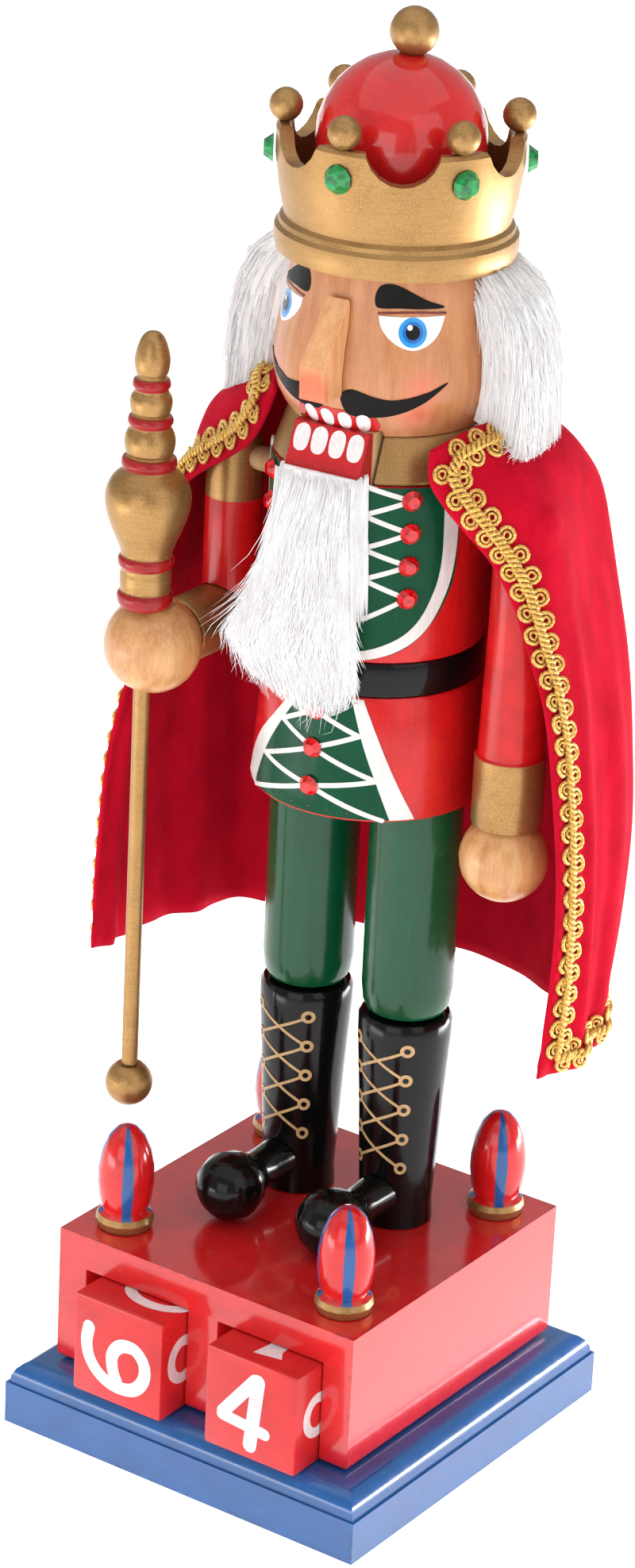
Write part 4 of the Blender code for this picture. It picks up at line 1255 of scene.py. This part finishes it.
def make_beard(look):
    columns, rows = 19, 27
    verts = [beard_place(j / (columns - 1), i / (rows - 1) * 0.93, lift)
             for lift in (0.8, 0.0) for i in range(rows) for j in range(columns)]
    faces = sheet_faces(rows, columns)
    for _ in range(BEARD_STRANDS):
        across = random.random()
        start = random.random() ** 0.9 * 0.9
        length = random.uniform(0.16, 0.34)
        lift = random.uniform(0.72, 1.02)
        drift = random.uniform(-0.09, 0.09)
        puff = random.uniform(0, 0.28)
        line = [beard_place(across + drift * t * t, min(start + length * t, 1.12),
                            lift + puff * t) for t in STRAND]
        add_strand(verts, faces, line, 0.13, 0.24)
    for _ in range(STRAY_STRANDS):
        across = random.uniform(-0.02, 0.25) if random.random() < 0.6 else random.random()
        start = random.uniform(0.15, 0.85)
        length = random.uniform(0.3, 0.55)
        drift = random.uniform(-0.26, 0.02)
        line = [beard_place(across + drift * t * t, min(start + length * t, 1.2), 0.9 + 0.5 * t)
                for t in STRAND]
        add_strand(verts, faces, line, 0.1, 0.16)
    for _ in range(CURTAIN_STRANDS):
        side = random.choice((-1, 1))
        depth = lerp(-28.8, -37.5, random.random())
        top = random.uniform(262, 288.5)
        length = random.uniform(9, 16)
        heights = [top - length * t for t in STRAND]
        line = [turned(Vector((side * interpolate(BEARD_CURTAIN, height), depth, height)))
                for height in heights]
        add_strand(verts, faces, line, 0.16, 0.26)
    beard = mesh_piece("fur_beard", verts, faces, look, None)
    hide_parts("beard")
    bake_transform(beard)
    return beard


# ---------------------------------------------------------------- sceptre head

# The outline with its raised rings, from the tip to the foot, as (radius, height above the foot)
SCEPTRE_OUTLINE = [
    (0, 77), (1.7, 76.6), (3.2, 75), (4.3, 72), (4.8, 69), (4.4, 66), (3.8, 64.5),
    (4.7, 63.9), (5.1, 63), (5.1, 62), (4.6, 61.2), (4.7, 60.4), (5.5, 59), (5.7, 57.2),
    (5.3, 55), (4.9, 54.1), (5.7, 53.7), (6.1, 52.8), (6.1, 51.9), (5.6, 51.1), (5.7, 50.4),
    (6.5, 48.8), (6.9, 46.6), (6.5, 44), (5.9, 42.7), (7, 42.3), (7.5, 41.3), (7.5, 40.2),
    (7, 39.4), (7.7, 38.4), (9.7, 36.5), (11.1, 33.8), (11.6, 30.8), (11.1, 27), (9.6, 22.4),
    (7.9, 18.4), (6.9, 15.5), (7.1, 14.7), (7.6, 13.9), (7.6, 12.4), (7.1, 11.5), (6.8, 10.8),
    (7, 9), (7, 6.8), (6.8, 5.2), (7.1, 4.5), (7.6, 3.7), (7.6, 2.2), (7.1, 0.7), (6.4, 0)]
SCEPTRE_SIDES = 56
SOCKET = [(2.4, 0), (2.4, 10.2), (0, 10.2)]      # bored in the foot for the rod


def make_sceptre_head(look):
    """The turned head, with rings up to 1.6 mm prouder than the CAD's, and more sides."""
    low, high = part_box("sceptre_head")
    axis, foot = (low + high) / 2 / MM, low.z / MM
    outline = curve_through(SCEPTRE_OUTLINE, 3, False) + SOCKET
    verts, faces = [Vector((axis.x, axis.y, foot + outline[0][1]))], []
    for radius, height in outline[1:-1]:
        verts += [Vector((axis.x + radius * math.cos(turn), axis.y + radius * math.sin(turn),
                          foot + height))
                  for turn in (math.tau * k / SCEPTRE_SIDES for k in range(SCEPTRE_SIDES))]
    verts.append(Vector((axis.x, axis.y, foot + outline[-1][1])))
    last = len(verts) - 1 - SCEPTRE_SIDES
    for k in range(SCEPTRE_SIDES):
        after = (k + 1) % SCEPTRE_SIDES
        faces.append((0, 1 + k, 1 + after))
        faces.append((last + k, last + after, len(verts) - 1))
        for start in range(1, last, SCEPTRE_SIDES):
            faces.append((start + k, start + SCEPTRE_SIDES + k, start + SCEPTRE_SIDES + after,
                          start + after))
    head = mesh_piece("turned_sceptre_head", verts, faces, look, "sceptre")
    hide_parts("sceptre_head")
    return head


# ---------------------------------------------------------------- floor, light and camera

def stage():
    bm = bmesh.new()
    bmesh.ops.create_grid(bm, x_segments=1, y_segments=1, size=6)
    mesh = bpy.data.meshes.new("floor")
    bm.to_mesh(mesh)
    bm.free()
    look = Look("pale_floor", Roughness=0.7, Emission_Color=(1, 1, 1, 1),
                Emission_Strength=1.0)
    look.finish(look.mix(look.noise(90, 2), srgb(250, 250, 250), srgb(246, 246, 246)))
    mesh.materials.append(look.material)
    floor = bpy.data.objects.new("floor", mesh)
    bpy.context.scene.collection.objects.link(floor)


def softbox(name, place, target, size, power):
    lamp = bpy.data.lights.new(name, "AREA")
    lamp.shape = "RECTANGLE"
    lamp.size, lamp.size_y = size
    lamp.energy = power
    holder = bpy.data.objects.new(name, lamp)
    holder.location = place
    holder.rotation_euler = (Vector(target) - Vector(place)).to_track_quat("-Z", "Y").to_euler()
    holder.visible_camera = False
    bpy.context.scene.collection.objects.link(holder)


def light_studio():
    world = bpy.data.worlds.new("white_tent")
    world.use_nodes = True
    backdrop = world.node_tree.nodes["Background"]
    backdrop.inputs["Color"].default_value = (1, 1, 1, 1)
    backdrop.inputs["Strength"].default_value = 0.5
    bpy.context.scene.world = world
    middle = (0, 0, 0.2)
    softbox("key_right", (1.15, -0.35, 0.75), middle, (0.9, 1.1), 3)
    softbox("fill_left", (-1.0, -0.8, 0.55), middle, (0.6, 1.0), 0.5)
    softbox("top", (0, -0.1, 1.6), middle, (2.4, 2.4), 11)
    softbox("front", (0.2, -1.5, 0.5), middle, (1.0, 0.7), 3.6)
    softbox("low_right", (0.4, 0.5, 0.05), (0.05, 0, 0.03), (0.5, 0.08), 3)
    softbox("low_front", (-0.35, -0.5, 0.05), (0, 0, 0.03), (0.4, 0.08), 0.5)
    bpy.context.scene.view_settings.view_transform = "Standard"


def camera():
    """Looks down from the front left at the photographer's distance."""
    azimuth, elevation, roll = math.radians(34.244), math.radians(22.768), math.radians(2.793)
    back = Vector((math.sin(azimuth) * math.cos(elevation),
                   -math.cos(azimuth) * math.cos(elevation), math.sin(elevation)))
    right = Vector((math.cos(azimuth), math.sin(azimuth), 0))
    up = back.cross(right)
    tilted_right = right * math.cos(roll) + up * math.sin(roll)
    tilted_up = up * math.cos(roll) - right * math.sin(roll)
    lens = bpy.data.cameras.new("camera")
    lens.lens = 109.367
    lens.sensor_width = 36
    holder = bpy.data.objects.new("camera", lens)
    spin = Matrix((tilted_right, tilted_up, back)).transposed().to_4x4()
    holder.matrix_world = Matrix.Translation((0.66691, -0.98695, 0.69308)) @ spin
    bpy.context.scene.collection.objects.link(holder)
    bpy.context.scene.camera = holder


# ---------------------------------------------------------------- the figure

random.seed(25)
dress_cad(frame["nodes"])
paint_mouth(paint_face())
paint_skirt(*paint_bib())
paint_boots()
paint_digits()
white_hair = fur("white_hair_fur", srgb(244, 243, 245), srgb(226, 223, 222))
white_beard = fur("white_beard_fur", srgb(246, 245, 247), srgb(224, 221, 221))
CAPE = cape_grid()
cape = make_cape(CAPE)
braid = make_braid(CAPE)
make_hair(white_hair)
make_beard(white_beard)
make_sceptre_head(FINISHES["sceptre_head"])
stage()
light_studio()
camera()
